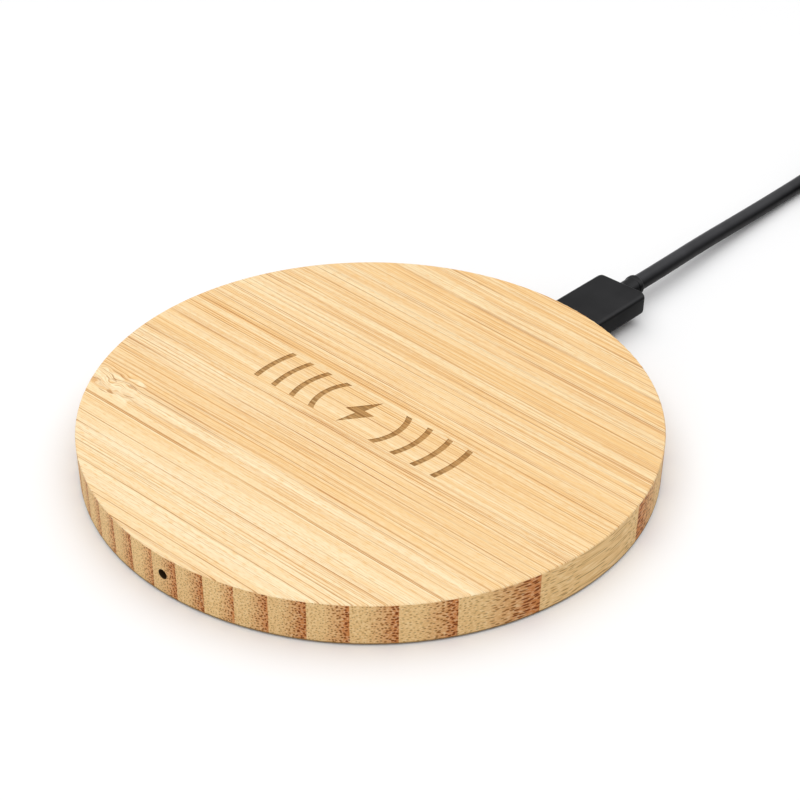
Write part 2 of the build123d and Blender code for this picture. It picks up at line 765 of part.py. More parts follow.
def far_insulator():
    """The white block inside the shell: a plug of plastic behind, and the tongue in front."""
    inner = (FAR_SHELL_WIDTH - 2 * FAR_SHELL_WALL, FAR_SHELL_HEIGHT - 2 * FAR_SHELL_WALL)
    back = prism(
        Rectangle(*inner), FAR_PLUG_X, FAR_PLUG_Z, FAR_BODY_END - 0.5, FAR_BODY_END + FAR_SHELL_IN
    )
    tongue_z = FAR_PLUG_Z - inner[1] / 2 + FAR_TONGUE_THICKNESS / 2
    tongue = prism(
        Rectangle(FAR_TONGUE_WIDTH, FAR_TONGUE_THICKNESS),
        FAR_PLUG_X,
        tongue_z,
        FAR_SHELL_TIP + 0.6,
        FAR_BODY_END,
    )
    return back + tongue


def far_contacts():
    """The four contact strips on the tongue."""
    top = FAR_PLUG_Z - FAR_SHELL_HEIGHT / 2 + FAR_SHELL_WALL + FAR_TONGUE_THICKNESS
    strips = []
    for x in FAR_CONTACTS:
        centre = FAR_PLUG_X + x
        reach = FAR_SHELL_TIP + (1.8 if abs(x) > 2 else 2.8)
        strips.append(block(centre - 0.5, centre + 0.5, reach, FAR_BODY_END - 0.5, top, top + 0.15))
    return together(strips)


# ---- output ------------------------------------------------------------------------------------------

NODES = (
    face_veneer,
    bamboo_core,
    bottom_cover,
    anti_slip_ring,
    cover_screws,
    main_board,
    board_screws,
    controller_chip,
    bridge_drivers,
    resonant_capacitors,
    power_inductor,
    chip_capacitors,
    chip_resistors,
    clock_crystal,
    light_holder,
    status_light,
    light_pipe,
    coil_adhesive,
    charging_coil,
    ferrite_adhesive,
    ferrite_sheet,
    coil_leads,
    thermistor,
    receptacle_shell,
    receptacle_contacts,
    receptacle_tongue,
    plug_shell,
    plug_insulator,
    plug_contacts,
    plug_board,
    plug_overmould,
    plug_strain_relief,
    cord_run,
    cord_coil,
    cord_tail,
    cord_tie,
    far_strain_relief,
    far_overmould,
    far_shell,
    far_insulator,
    far_contacts,
)


def main():
    """Writes one STEP file for each node, named after the function that makes it."""
    os.makedirs("parts", exist_ok=True)
    for make in NODES:
        export_step(make(), f"parts/{make.__name__}.step")


main()
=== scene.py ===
"""Looks of a round bamboo wireless charging pad with a pull-out USB lead.

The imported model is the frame: it holds every size and place. This script gives each piece its finish, and
makes new surfaces where the real piece has more shape than its plain solid: the plug's grip, the cord and
its coil, the strap, the far plug and the stranded charging coil. Lengths are in metres unless a name says
mm, +Z is up, and +Y points to the side where the lead plugs in.
"""

import logging
import math
from dataclasses import dataclass
from enum import Enum
from functools import partial
from typing import Any, Callable

import bpy
import numpy as np
from mathutils import Matrix, Vector


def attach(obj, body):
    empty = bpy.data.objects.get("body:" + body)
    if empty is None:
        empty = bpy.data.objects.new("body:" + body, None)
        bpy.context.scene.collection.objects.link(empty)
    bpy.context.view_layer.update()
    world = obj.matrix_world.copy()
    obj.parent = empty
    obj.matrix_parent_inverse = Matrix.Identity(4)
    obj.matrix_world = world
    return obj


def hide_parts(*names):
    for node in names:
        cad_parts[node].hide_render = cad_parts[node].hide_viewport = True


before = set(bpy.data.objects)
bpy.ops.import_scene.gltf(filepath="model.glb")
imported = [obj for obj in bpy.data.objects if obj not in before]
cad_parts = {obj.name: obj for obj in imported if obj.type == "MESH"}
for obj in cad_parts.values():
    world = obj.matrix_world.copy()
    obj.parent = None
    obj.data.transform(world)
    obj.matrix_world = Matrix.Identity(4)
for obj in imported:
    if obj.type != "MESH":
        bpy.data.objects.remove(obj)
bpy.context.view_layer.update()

MM = 0.001
TAU = 2 * math.pi
SHARP = math.radians(35)  # edges that turn by more than this stay sharp
LOG = logging.getLogger("charging_pad")

Node = bpy.types.Node
Piece = bpy.types.Object
Adder = Callable[..., Node]
Array = np.ndarray


# ---- colour and nodes --------------------------------------------------------------------------------


def linear(colour: str) -> tuple[float, float, float, float]:
    """Turns an sRGB hex colour into the linear values that a shader takes.

    Args:
        colour: six hex digits, with or without a leading #.

    Returns:
        Linear red, green, blue, and an alpha of 1.
    """
    digits = colour.lstrip("#")
    channels = [int(digits[i : i + 2], 16) / 255 for i in (0, 2, 4)]
    curved = [c / 12.92 if c <= 0.04045 else ((c + 0.055) / 1.055) ** 2.4 for c in channels]
    return (curved[0], curved[1], curved[2], 1.0)


def first_output(node: Node) -> bpy.types.NodeSocket:
    """Gives the output that a node is used for: the colour of a colour Mix, or else its first.

    Args:
        node: a shader node.

    Returns:
        The socket to link from.
    """
    if node.bl_idname == "ShaderNodeMix" and node.data_type == "RGBA":
        return node.outputs[2]
    return node.outputs[0]


def feed(node: Node, inputs: dict) -> None:
    """Sets a node's inputs, by name or number: a value, a hex colour, a socket, or a node to link from."""
    for name, value in inputs.items():
        if isinstance(value, Node):
            value = first_output(value)
        if isinstance(value, bpy.types.NodeSocket):
            node.id_data.links.new(value, node.inputs[name])
        else:
            node.inputs[name].default_value = linear(value) if isinstance(value, str) else value


def add_node(tree: bpy.types.NodeTree, kind: str, *values: Any, **settings: Any) -> Node:
    """Adds one shader node with its settings and its inputs.

    Args:
        tree: the node tree to add to.
        kind: the node's class name without ShaderNode, and its operation after a space.
        *values: what its first inputs get, in order, or one dict as feed takes.
        **settings: the node's own properties.

    Returns:
        The new node.
    """
    kind, _, operation = kind.partition(" ")
    node = tree.nodes.new(f"ShaderNode{kind}")
    for name, value in (settings | ({"operation": operation} if operation else {})).items():
        setattr(node, name, value)
    feed(node, values[0] if values and isinstance(values[0], dict) else dict(enumerate(values)))
    return node


def painted(add: Adder, colour: Any, *layers: tuple[Any, Any], blend: str = "MIX") -> Node:
    """Lays paints over a colour, from first to last.

    Args:
        add: adds a node to the material.
        colour: what lies underneath.
        *layers: each paint's mask and the paint itself.
        blend: how a paint joins what is under it.

    Returns:
        The node with the finished colour.
    """
    for mask, paint in layers:
        colour = add("Mix", {0: mask, 6: colour, 7: paint}, data_type="RGBA", blend_type=blend)
    return colour


def strips(add: Adder, across: Any, start_mm: float, width_mm: float) -> tuple[Node, bpy.types.NodeSocket]:
    """Counts the strips up to a point, in parts of a strip, and draws each strip's own chance."""
    counted = add("Math DIVIDE", add("Math SUBTRACT", across, start_mm), width_mm)
    chance = add("TexWhiteNoise", {"W": add("Math FLOOR", counted)}, noise_dimensions="1D")
    return counted, chance.outputs["Value"]


def from_axis(add: Adder, x: Any, y: Any) -> bpy.types.NodeSocket:
    """The distance from the pad's axis, in mm."""
    return add("VectorMath LENGTH", add("CombineXYZ", x, y)).outputs["Value"]


# ---- finishes ----------------------------------------------------------------------------------------


@dataclass(frozen=True)
class Finish:
    """A surface finish: a Principled shader with a pattern laid out in millimetres.

    Each subclass draws its own pattern. A finish is built once and shared by the pieces that have it.
    """

    name: str
    colour: str
    roughness: float = 0.5
    metallic: float = 0.0
    ior: float = 1.5
    shine: float = 0.5

    def build(self) -> bpy.types.Material:
        """Makes the material, or finds it when it is there already.

        Returns:
            The material.
        """
        found = bpy.data.materials.get(self.name)
        if found:
            return found
        material = bpy.data.materials.new(self.name)
        material.use_nodes = True
        material.node_tree.nodes.clear()
        add = partial(add_node, material.node_tree)
        settings = {"Base Color": self.colour, "Roughness": self.roughness, "Metallic": self.metallic}
        if not self.metallic:
            settings |= {"IOR": self.ior, "Specular IOR Level": self.shine}
        shader = add("BsdfPrincipled", settings)
        add("OutputMaterial", {"Surface": shader})
        coordinates = add("TexCoord").outputs["Object"]
        place = add("VectorMath SCALE", {0: coordinates, "Scale": 1 / MM})
        self.pattern(add, shader, place)
        return material

    def pattern(self, add: Adder, shader: Node, place: Node) -> None:
        """Draws the finish's pattern; a plain finish has none.

        Args:
            add: adds a node to the material.
            shader: its Principled shader.
            place: the point on the piece, in millimetres.
        """

    def dress(self, piece: Piece) -> None:
        """Puts this finish on a piece, in place of whatever it had."""
        material = self.build()
        if not piece.data.materials:
            piece.data.materials.append(material)
        for index in range(len(piece.data.materials)):
            piece.data.materials[index] = material


@dataclass(frozen=True)
class BambooEdge(Finish):
    """The laminated core, sanded: strips on edge, end grain where a cut crosses them.

    Each strip is 5 mm wide and runs along Y. Its outer side, towards +X, is the cane's hard skin side,
    redder and dense with fibre bundles; its inner side is pale with few. Bundles are dots 0.25 mm across
    on end grain and long streaks where the side runs with the grain. The bottom corner and the inside of
    the bored hole are darkened with painted shade.
    """

    skin: str = "#D1925A"
    crust: str = "#C4763C"
    dot: str = "#7A3C10"
    faint_dot: str = "#9A7238"
    # painted shade on the bottom corner
    corner_shade: str = "#7C6238"
    # painted shade inside the bored hole
    hole_shade: str = "#3A2817"
    tint: str = "#B98A58"
    tissue: tuple[str, str] = ("#F7E0B2", "#AD7D42")
    strip_mm: float = 5.062
    strip_start_mm: float = -7.087
    grain_turn: float = -0.0253
    bundle_mm: tuple[float, float] = (0.52, 0.52)
    corner_shade_top_mm: float = 0.62
    corner_shade_inside_mm: float = 49.2
    bore_mm: tuple[float, float, float] = (4.0, 4.2, 0.9)

    def pattern(self, add: Adder, shader: Node, place: Node) -> None:
        """Draws the strips and the bundles in them."""
        colour, dots = self.wood(add, place)
        bump = add("Bump", {"Height": dots, "Distance": 0.008 * MM, "Strength": 0.5}, invert=True)
        feed(shader, {"Base Color": colour, "Normal": bump})

    def wood(self, add: Adder, place: Any) -> tuple[Node, Node]:
        """The wood's colour, and its bundles as a mask.

        Args:
            add: adds a node to the material.
            place: the point on the piece, in millimetres.

        Returns:
            The colour, and the bundles from 0 to 1.
        """
        x, y, z = add("SeparateXYZ", place).outputs
        across = add("Math MULTIPLY_ADD", y, self.grain_turn, x)
        counted, chance = strips(add, across, self.strip_start_mm, self.strip_mm)
        share = add("Math FRACT", counted)
        ragged = add("TexNoise", {"Vector": place, "Scale": 1 / 1.4, "Detail": 3.0})
        uneven = add("Math MULTIPLY_ADD", ragged, 0.34, share)
        uneven = add("Math MULTIPLY_ADD", chance, 0.14, uneven)
        hard = add("MapRange", uneven, 0.62, 1.16)
        crust = add("MapRange", uneven, 1.04, 1.2, 0.0, 0.85)
        tone = add("MapRange", chance, 0.0, 1.0, 0.0, 0.16)
        colour = painted(add, self.colour, (hard, self.skin), (crust, self.crust), (tone, self.tint))
        colour = self.soft_tissue(add, place, colour)
        dots = self.bundles(add, place, across, z, hard)
        dot_colour = painted(add, self.faint_dot, (hard, self.dot))
        colour = painted(add, colour, (dots, dot_colour))
        return self.darkened(add, x, y, z, colour), dots

    def soft_tissue(self, add: Adder, place: Any, colour: Any) -> Node:
        """The tissue between bundles: fine mottling, drawn out along Y."""
        near = add("Mapping", {"Vector": place, "Scale": (1 / 0.24, 1 / 5.0, 1 / 0.24)})
        grain = add("TexNoise", {"Vector": near, "Scale": 1.0, "Detail": 2.0})
        light = add("MapRange", grain, 0.48, 0.72, 0.0, 0.5)
        dark = add("MapRange", grain, 0.46, 0.28, 0.0, 0.45)
        return painted(add, colour, (light, self.tissue[0]), (dark, self.tissue[1]))

    def bundles(self, add: Adder, place: Any, across: Any, z: Any, hard: Any) -> Node:
        """Fibre bundles: cells of a 2-D pattern across the grain that drifts slowly along it.

        In the skin they are round and solid, and in the soft side smaller and fainter.
        """
        slow = add("Mapping", {"Vector": place, "Scale": (0.02, 1 / 9, 0.02)})
        drift = add("TexNoise", {"Vector": slow, "Scale": 1.0, "Detail": 1.0})
        sideways = add("Math MULTIPLY_ADD", drift, 1.6, across)
        upward = add("Math MULTIPLY_ADD", drift, -1.2, z)
        column = add("Math DIVIDE", sideways, self.bundle_mm[0])
        row = add("Math DIVIDE", upward, self.bundle_mm[1])
        vector = add("CombineXYZ", column, row)
        settings = {"Vector": vector, "Scale": 1.0, "Randomness": 0.78}
        cells = add("TexVoronoi", settings, voronoi_dimensions="2D")
        size = add("MapRange", hard, 0.0, 1.0, 0.2, 0.3)
        gap = add("Math SUBTRACT", cells.outputs["Distance"], size)
        mask = add("MapRange", gap, 0.09, -0.09, interpolation_type="SMOOTHSTEP")
        luck = add("SeparateColor", cells.outputs["Color"])
        strength = add("MapRange", hard, 0.0, 1.0, 0.55, 0.95)
        strength = add("Math MULTIPLY_ADD", luck, 0.25, strength)
        return add("Math MULTIPLY", mask, strength, use_clamp=True)

    def darkened(self, add: Adder, x: Any, y: Any, z: Any, colour: Any) -> Node:
        """Paints shade on the bottom corner and inside the bored hole."""
        # painted shade along the bottom corner and inside the bored hole
        low = add("MapRange", z, self.corner_shade_top_mm, self.corner_shade_top_mm - 0.18, 0.0, 0.9)
        outer = add("MapRange", from_axis(add, x, y), self.corner_shade_inside_mm, self.corner_shade_inside_mm + 0.5)
        low = add("Math MULTIPLY", low, outer)
        from_bore = add("CombineXYZ", *(add("Math SUBTRACT", s, m) for s, m in zip((x, z), self.bore_mm)))
        reach = add("VectorMath LENGTH", from_bore).outputs["Value"]
        hole_shade = add("Math LESS_THAN", reach, self.bore_mm[2])
        hole_shade = add("Math MULTIPLY", hole_shade, add("Math LESS_THAN", y, 0.0))
        return painted(add, colour, (low, self.corner_shade), (hole_shade, self.hole_shade))


@dataclass(frozen=True)
class BambooFace(Finish):
    """Bamboo strips glued edge to edge, sanded and oiled matt: cream, with brown fibre lines along X.

    Fibre bundles cut lengthwise show as hair lines 0.1 to 0.3 mm wide, often with a painted highlight beside
    them.
    The strips are 6.6 mm wide. Where the cane had a joint, its fibres bend round pale patches. The sheet's
    own side is thin, and shows the same end grain as the core.
    """

    edge: BambooEdge | None = None
    warm: str = "#F5CA8A"
    pale: str = "#FFF0C8"
    hair: str = "#D4A978"
    deep: str = "#B6844A"
    burnt: str = "#C8B69C"
    charred: str = "#946A38"
    fleck: str = "#A8682C"
    strip_mm: float = 6.6
    strip_start_mm: float = -22.0
    fan: float = 0.001125
    knot_mm: tuple[float, float] = (-38.2, -25.4)
    knot_size_mm: tuple[float, float] = (9.5, 4.0)
    patches_mm: tuple = (  # each ellipse's middle, half length and half width
        *((-34.6, -22.9, 2.9, 0.95), (-33.3, -28.0, 2.9, 0.85)),
        *((-38.6, -23.8, 2.2, 0.6), (-36.4, -26.2, 2.0, 0.5)),
    )
    flecks_mm: tuple = (
        *((-39.5, -25.2, 1.2, 0.36), (-38.3, -24.9, 1.1, 0.3), (-36.0, -27.6, 1.3, 0.34)),
        *((-34.0, -24.4, 1.6, 0.26), (-37.2, -28.4, 1.7, 0.28), (-41.0, -27.0, 1.6, 0.34)),
        (-32.6, -26.4, 1.6, 0.24),
    )
    hair_mm: tuple = (0.55, 0.14, 0.45, 1.0)  # spacing, width, and the least and most strength
    finer_mm: tuple = (0.3, 0.1, 0.35, 0.9)
    soft_mm: tuple = (0.7, 0.2, 0.2, 0.9)
    deep_mm: tuple[float, float] = (1.9, 0.17)
    side_top_mm: float = 7.82
    engraved_below_mm: float = 7.94
    engraved_within_mm: float = 40.0

    def pattern(self, add: Adder, shader: Node, place: Node) -> None:
        """Draws the strips, their fibres, the knot, the engraving's scorched floor and the sheet's side."""
        x, y, z = add("SeparateXYZ", place).outputs
        knot = self.ellipse(add, x, y, (*self.knot_mm, *self.knot_size_mm))
        across = self.across_grain(add, x, y, knot)
        colour = self.ground(add, x, across, y)
        lines = self.fibres(add, x, across, knot)
        colour = painted(add, colour, (lines["pale"], self.pale))
        for kind, stain in (("hair", self.hair), ("deep", self.deep)):
            colour = painted(add, colour, (lines[kind], stain), blend="MULTIPLY")
        colour = self.knot_marks(add, x, y, colour)
        radius = from_axis(add, x, y)
        below = add("Math LESS_THAN", z, self.engraved_below_mm)
        cut = add("Math MULTIPLY", below, add("Math LESS_THAN", radius, self.engraved_within_mm))
        darkened = painted(add, colour, (1.0, self.burnt), blend="MULTIPLY")
        charred = self.streaks(add, x, across, 30, 0.5, 1.0)
        charred = add("MapRange", charred, 0.42, 0.64, 0.0, 0.8)
        darkened = painted(add, darkened, (charred, self.charred))
        side = add("MapRange", z, self.side_top_mm + 0.03, self.side_top_mm - 0.03)
        side = add("Math MULTIPLY", side, add("Math GREATER_THAN", radius, self.engraved_within_mm))
        end_grain, _ = self.edge.wood(add, place)
        feed(shader, {"Base Color": painted(add, colour, (cut, darkened), (side, end_grain))})
        self.relief(add, shader, lines)

    def ellipse(self, add: Adder, x: Any, y: Any, shape: tuple) -> Node:
        """A soft-edged ellipse.

        Args:
            add: adds a node to the material.
            x: the place along the grain.
            y: the place across it.
            shape: its middle's x and y, its half length and its half width.

        Returns:
            1 in the middle, and 0 outside.
        """
        squares = []
        for axis, middle, size in zip((x, y), shape[:2], shape[2:]):
            share = add("Math DIVIDE", add("Math SUBTRACT", axis, middle), size)
            squares.append(add("Math MULTIPLY", share, share))
        return add("MapRange", add("Math", *squares), 1.0, 0.2, interpolation_type="SMOOTHSTEP")

    def across_grain(self, add: Adder, x: Any, y: Any, knot: Any) -> Node:
        """The distance across the grain in mm: y, fanned out a little, wandering, and bent at the knot."""
        straight = add("Math MULTIPLY", y, add("Math MULTIPLY_ADD", x, self.fan, 1.0))
        wandered = add("Math MULTIPLY_ADD", self.streaks(add, x, y, 50, 14, 1.0), 0.5, straight)
        centred = add("Math SUBTRACT", self.streaks(add, x, y, 5.5, 1.9, 1.0), 0.5)
        curl = add("Math MULTIPLY", centred, knot)
        return add("Math MULTIPLY_ADD", curl, 2.4, wandered)

    def streaks(self, add: Adder, x: Any, across: Any, length: float, width: float, detail: float) -> Any:
        """Noise drawn out along the grain.

        Args:
            add: adds a node to the material.
            x: the place along the grain, in mm.
            across: the place across it, in mm.
            length: the noise's own size along the grain, in mm.
            width: its size across, in mm; a line cut from it is about a third as wide.
            detail: how many finer octaves to add.

        Returns:
            The noise node.
        """
        along = add("Math MULTIPLY_ADD", x, 1 / length, 31.7 * width)
        aside = add("Math MULTIPLY", across, 1 / width)
        vector = add("CombineXYZ", along, aside)
        settings = {"Vector": vector, "Scale": 1.0, "Detail": detail, "Roughness": 0.55}
        return add("TexNoise", settings, noise_dimensions="2D")

    def ground(self, add: Adder, x: Any, across: Any, y: Any) -> Node:
        """The ground colour: broad bands, each strip's own tone, painted shade towards the back, and fine
        pores.
        """
        bands = self.streaks(add, x, across, 150, 6.5, 3.0)
        _, chance = strips(add, across, self.strip_start_mm, self.strip_mm)
        # painted shade: the ground warms from the front towards the back and right, as it is less brightly
        # lit there
        corner = add("Math MULTIPLY_ADD", x, 0.55, y)
        narrow = self.streaks(add, x, across, 260, 1.5, 1.5)
        pores = self.streaks(add, x, across, 1.6, 0.26, 2.0)
        tones = (  # what drives each tone, where it starts and is full, how strong it gets, and its paint
            (bands, 0.36, 0.68, 0.75, self.warm),
            (chance, 0.0, 1.0, 0.26, self.warm),
            (corner, -50.0, 45.0, 0.62, self.warm),
            (narrow, 0.5, 0.7, 0.55, self.warm),
            (narrow, 0.48, 0.3, 0.5, self.pale),
            (pores, 0.5, 0.72, 0.7, self.warm),
            (pores, 0.46, 0.28, 0.22, self.pale),
        )
        layers = [(add("MapRange", *driver, 0.0, most), paint) for *driver, most, paint in tones]
        return painted(add, self.colour, *layers)

    def threads(self, add: Adder, across: Any, spacing: float, width: float) -> tuple[Any, Any]:
        """Lines of one width at uneven distances across the grain.

        Args:
            add: adds a node to the material.
            across: the place across the grain, in mm.
            spacing: how far apart the lines are on average, in mm.
            width: how wide each is, in mm.

        Returns:
            The lines from 0 to 1, and each line's own chance from 0 to 1.
        """
        counted = add("Math DIVIDE", across, spacing)
        cells = add("TexVoronoi", {"W": counted, "Scale": 1.0, "Randomness": 1.0}, voronoi_dimensions="1D")
        half = width / 2 / spacing
        line = add("MapRange", cells.outputs["Distance"], half * 1.5, half * 0.5)
        luck = add("SeparateColor", cells.outputs["Color"])
        return line, luck

    def fibres(self, add: Adder, x: Any, across: Any, knot: Any) -> dict[str, Node]:
        """The pale lines, part soft fibres and part painted highlight beside the deep lines; the hair-fine
        and deep fibre lines; and the dark lines where strips meet.

        Args:
            add: adds a node to the material.
            x: the place along the grain.
            across: the place across it.
            knot: the knot's mask, where lines crowd together.

        Returns:
            Each kind of line as a mask from 0 to 1.
        """
        crowd = add("Math MULTIPLY_ADD", across, 0.004, self.streaks(add, x, across, 120, 7.0, 1.0))
        group = add("Math MAXIMUM", add("MapRange", crowd, 0.34, 0.6, 0.5), knot)
        kinds = {"hair": self.hair_mm, "finer": self.finer_mm, "soft": self.soft_mm}
        lines = {}
        for kind, (spacing, width, least, most) in kinds.items():
            line, luck = self.threads(add, across, spacing, width)
            broken = self.streaks(add, x, across, 22, spacing * 1.4, 1.0)
            strength = add("MapRange", broken, 0.4, 0.64, 0.1)
            strength = add("Math MULTIPLY", strength, group)
            share = add("MapRange", luck, 0.0, 1.0, least, most)
            strength = add("Math MULTIPLY", strength, share)
            lines[kind] = add("Math MULTIPLY", line, strength)
        hair = add("Math MAXIMUM", lines["hair"], lines["finer"])
        spacing, width = self.deep_mm
        line, luck = self.threads(add, across, spacing, width)
        fade = self.streaks(add, x, across, 30, 2.6, 1.0)
        share = add("MapRange", luck, 0.1, 1.0, 0.2, 0.9)
        strength = add("Math MULTIPLY", add("MapRange", fade, 0.38, 0.6, 0.3), share)
        deep = add("Math MULTIPLY", line, strength)
        # painted highlight: a pale line beside each deep line, as though its edge caught the light
        beside, _ = self.threads(add, add("Math", across, width), spacing, 0.2)
        shine = add("Math MULTIPLY", beside, strength)
        pale = add("Math MAXIMUM", shine, lines["soft"])
        seam = add("Math PINGPONG", add("Math SUBTRACT", across, self.strip_start_mm), self.strip_mm / 2)
        joint = add("MapRange", seam, 0.13, 0.04, 0.0, 0.8)
        joint = add("Math MULTIPLY", joint, add("MapRange", fade, 0.36, 0.58, 0.3))
        deep = add("Math MAXIMUM", deep, joint)
        dark = add("Math MAXIMUM", deep, hair)
        clear = add("MapRange", dark, 0.0, 0.3, 1.0, 0.0)
        return {"pale": add("Math MULTIPLY", pale, clear), "hair": hair, "deep": deep}

    def knot_marks(self, add: Adder, x: Any, y: Any, colour: Any) -> Node:
        """Pale patches and dark flecks at the knot, torn along the grain."""
        torn = self.streaks(add, x, y, 2.6, 0.42, 2.0)
        swirl = self.streaks(add, x, y, 3.4, 1.5, 1.0)
        shifted = add("Math MULTIPLY_ADD", swirl, 1.5, y)
        bent = add("Math SUBTRACT", shifted, 0.75)
        for shapes, paint, most in ((self.patches_mm, self.pale, 0.85), (self.flecks_mm, self.fleck, 0.6)):
            for shape in shapes:
                mask = self.ellipse(add, x, bent, shape)
                rough = add("Math MULTIPLY", mask, torn)
                mask = add("MapRange", rough, 0.2, 0.6, 0.0, most)
                colour = painted(add, colour, (mask, paint))
        return colour

    def relief(self, add: Adder, shader: Node, lines: dict) -> None:
        """Dark lines are open pores: a little lower and a little rougher than the oiled ground."""
        height = add("Math", lines["deep"], lines["hair"])
        bump = add("Bump", {"Height": height, "Distance": 0.005 * MM, "Strength": 0.3}, invert=True)
        rough = add("MapRange", height, 0.0, 1.0, self.roughness, self.roughness + 0.15)
        feed(shader, {"Normal": bump, "Roughness": rough})


@dataclass(frozen=True)
class Moulded(Finish):
    """Injection-moulded plastic from a spark-eroded mould: even, satin, with a very fine pebble.

    Faces that lie flat may get a painted highlight, lighter as if lit from above, and rounded edges a
    painted band of highlight, while upright ones keep the moulded colour.
    """

    pebble_mm: float = 0.18
    depth_mm: float = 0.004
    mottle: float = 0.08
    # painted highlights: a lighter colour for faces that look up, and a lighter band on rounded edges
    top_light: str = ""
    edge_highlight_strength: float = 0.0
    edge_highlight: str = "#6A6A6C"

    def pattern(self, add: Adder, shader: Node, place: Node) -> None:
        """Draws the pebble as bump, slow changes of gloss from handling, and any painted highlights."""
        pebble = add("TexNoise", {"Vector": place, "Scale": 1 / self.pebble_mm, "Detail": 2.0})
        bump = add("Bump", {"Height": pebble, "Distance": self.depth_mm * MM, "Strength": 1.0})
        slow = add("TexNoise", {"Vector": place, "Scale": 1 / 7.0, "Detail": 3.0})
        low, high = self.roughness - self.mottle, self.roughness + self.mottle
        gloss = add("MapRange", slow, 0.3, 0.7, low, high)
        feed(shader, {"Normal": bump, "Roughness": gloss})
        # painted highlight: faces that look up are painted lighter, as if lit from above, and rounded edges
        # get a lighter band
        if self.top_light:
            facing = add("SeparateXYZ", add("TexCoord").outputs["Normal"])
            flat = add("MapRange", facing.outputs["Z"], 0.3, 0.95, interpolation_type="SMOOTHSTEP")
            uneven = add("MapRange", slow, 0.3, 0.7, 0.7)
            flat = add("Math MULTIPLY", flat, uneven)
            rising = add("MapRange", facing.outputs["Z"], 0.35, 0.7, 0.0, self.edge_highlight_strength)
            falling = add("MapRange", facing.outputs["Z"], 0.98, 0.75)
            edge_highlight = add("Math MULTIPLY", rising, falling)
            feed(shader, {"Base Color": painted(add, self.colour, (flat, self.top_light), (edge_highlight, self.edge_highlight))})


@dataclass(frozen=True)
class Drawn(Finish):
    """Metal with fine lines from drawing, turning or plating, along one axis."""

    metallic: float = 1.0
    line_mm: tuple[float, float, float] = (4.0, 0.05, 0.05)
    dull: str = "#8C8A86"

    def pattern(self, add: Adder, shader: Node, place: Node) -> None:
        """Draws the lines in tone, gloss and a shallow bump."""
        scale = tuple(1 / length for length in self.line_mm)
        stretched = add("Mapping", {"Vector": place, "Scale": scale})
        lines = add("TexNoise", {"Vector": stretched, "Scale": 1.0, "Detail": 3.0})
        mask = add("MapRange", lines, 0.4, 0.75, 0.0, 0.5)
        colour = painted(add, self.colour, (mask, self.dull))
        gloss = add("MapRange", lines, 0.0, 1.0, self.roughness - 0.08, self.roughness + 0.12)
        bump = add("Bump", {"Height": lines, "Distance": 0.002 * MM, "Strength": 1.0})
        feed(shader, {"Base Color": colour, "Roughness": gloss, "Normal": bump})


@dataclass(frozen=True)
class Sintered(Finish):
    """Fired or pressed ceramic: matt, faintly speckled, with pits too small to count."""

    speck: str = "#55504A"
    speck_mm: float = 0.12

    def pattern(self, add: Adder, shader: Node, place: Node) -> None:
        """Draws the specks in colour and as pits."""
        grit = add("TexNoise", {"Vector": place, "Scale": 1 / self.speck_mm, "Detail": 2.0})
        mask = add("MapRange", grit, 0.52, 0.7, 0.0, 0.7)
        colour = painted(add, self.colour, (mask, self.speck))
        bump = add("Bump", {"Height": grit, "Distance": 0.006 * MM, "Strength": 1.0})
        feed(shader, {"Base Color": colour, "Normal": bump})


@dataclass(frozen=True)
class SolderMask(Finish):
    """Circuit board under green solder mask: tracks show as paler lines, and plated vias as gold dots."""

    track: str = "#2F7A45"
    gold: str = "#C9A14A"
    track_pitch_mm: float = 1.27
    via_pitch_mm: float = 3.1

    def pattern(self, add: Adder, shader: Node, place: Node) -> None:
        """Draws tracks along X or Y by patches, and vias on an uneven grid."""
        settings = {"Vector": place, "Scale": 1 / 11.0}
        patches = add("TexVoronoi", settings, voronoi_dimensions="2D", distance="CHEBYCHEV")
        chance = add("SeparateColor", patches.outputs["Color"])
        turn = add("Math GREATER_THAN", chance, 0.5)
        x, y, _ = add("SeparateXYZ", place).outputs
        position = add("Mix", {0: turn, 2: x, 3: y})
        wave = add("Math PINGPONG", position, self.track_pitch_mm / 2)
        line = add("MapRange", wave, 0.2, 0.15)
        here = add("Math GREATER_THAN", chance.outputs[1], 0.35)
        line = add("Math MULTIPLY", line, here)
        colour = painted(add, self.colour, (line, self.track))
        vias = add("TexVoronoi", {"Vector": place, "Scale": 1 / self.via_pitch_mm}, voronoi_dimensions="2D")
        via = add("MapRange", vias.outputs["Distance"], 0.11, 0.09)
        colour = painted(add, colour, (via, self.gold))
        bump = add("Bump", {"Height": line, "Distance": 0.03 * MM, "Strength": 0.8})
        feed(shader, {"Base Color": colour, "Metallic": via, "Normal": bump})


@dataclass(frozen=True)
class Stranded(Finish):
    """Enamelled copper strands twisted into a round wire: bright diagonal strands, with painted shade in the
    gaps between them.

    Reads the piece's own UV, in millimetres along the wire and around it.
    """

    metallic: float = 0.85
    gap: str = "#4A210C"
    strand_mm: float = 0.16

    def pattern(self, add: Adder, shader: Node, place: Node) -> None:
        """Draws the strands as ridges slanting round the wire."""
        along, around, _ = add("SeparateXYZ", add("TexCoord").outputs["UV"]).outputs
        slant = add("Math MULTIPLY_ADD", along, 0.45, around)
        ridge = add("Math PINGPONG", slant, self.strand_mm / 2)
        # painted shade in the gaps between strands
        gap = add("MapRange", ridge, 0.02, 0.0, 0.0, 0.8)
        colour = painted(add, self.colour, (gap, self.gap))
        bump = add("Bump", {"Height": ridge, "Distance": 0.3 * MM, "Strength": 0.6})
        feed(shader, {"Base Color": colour, "Normal": bump})


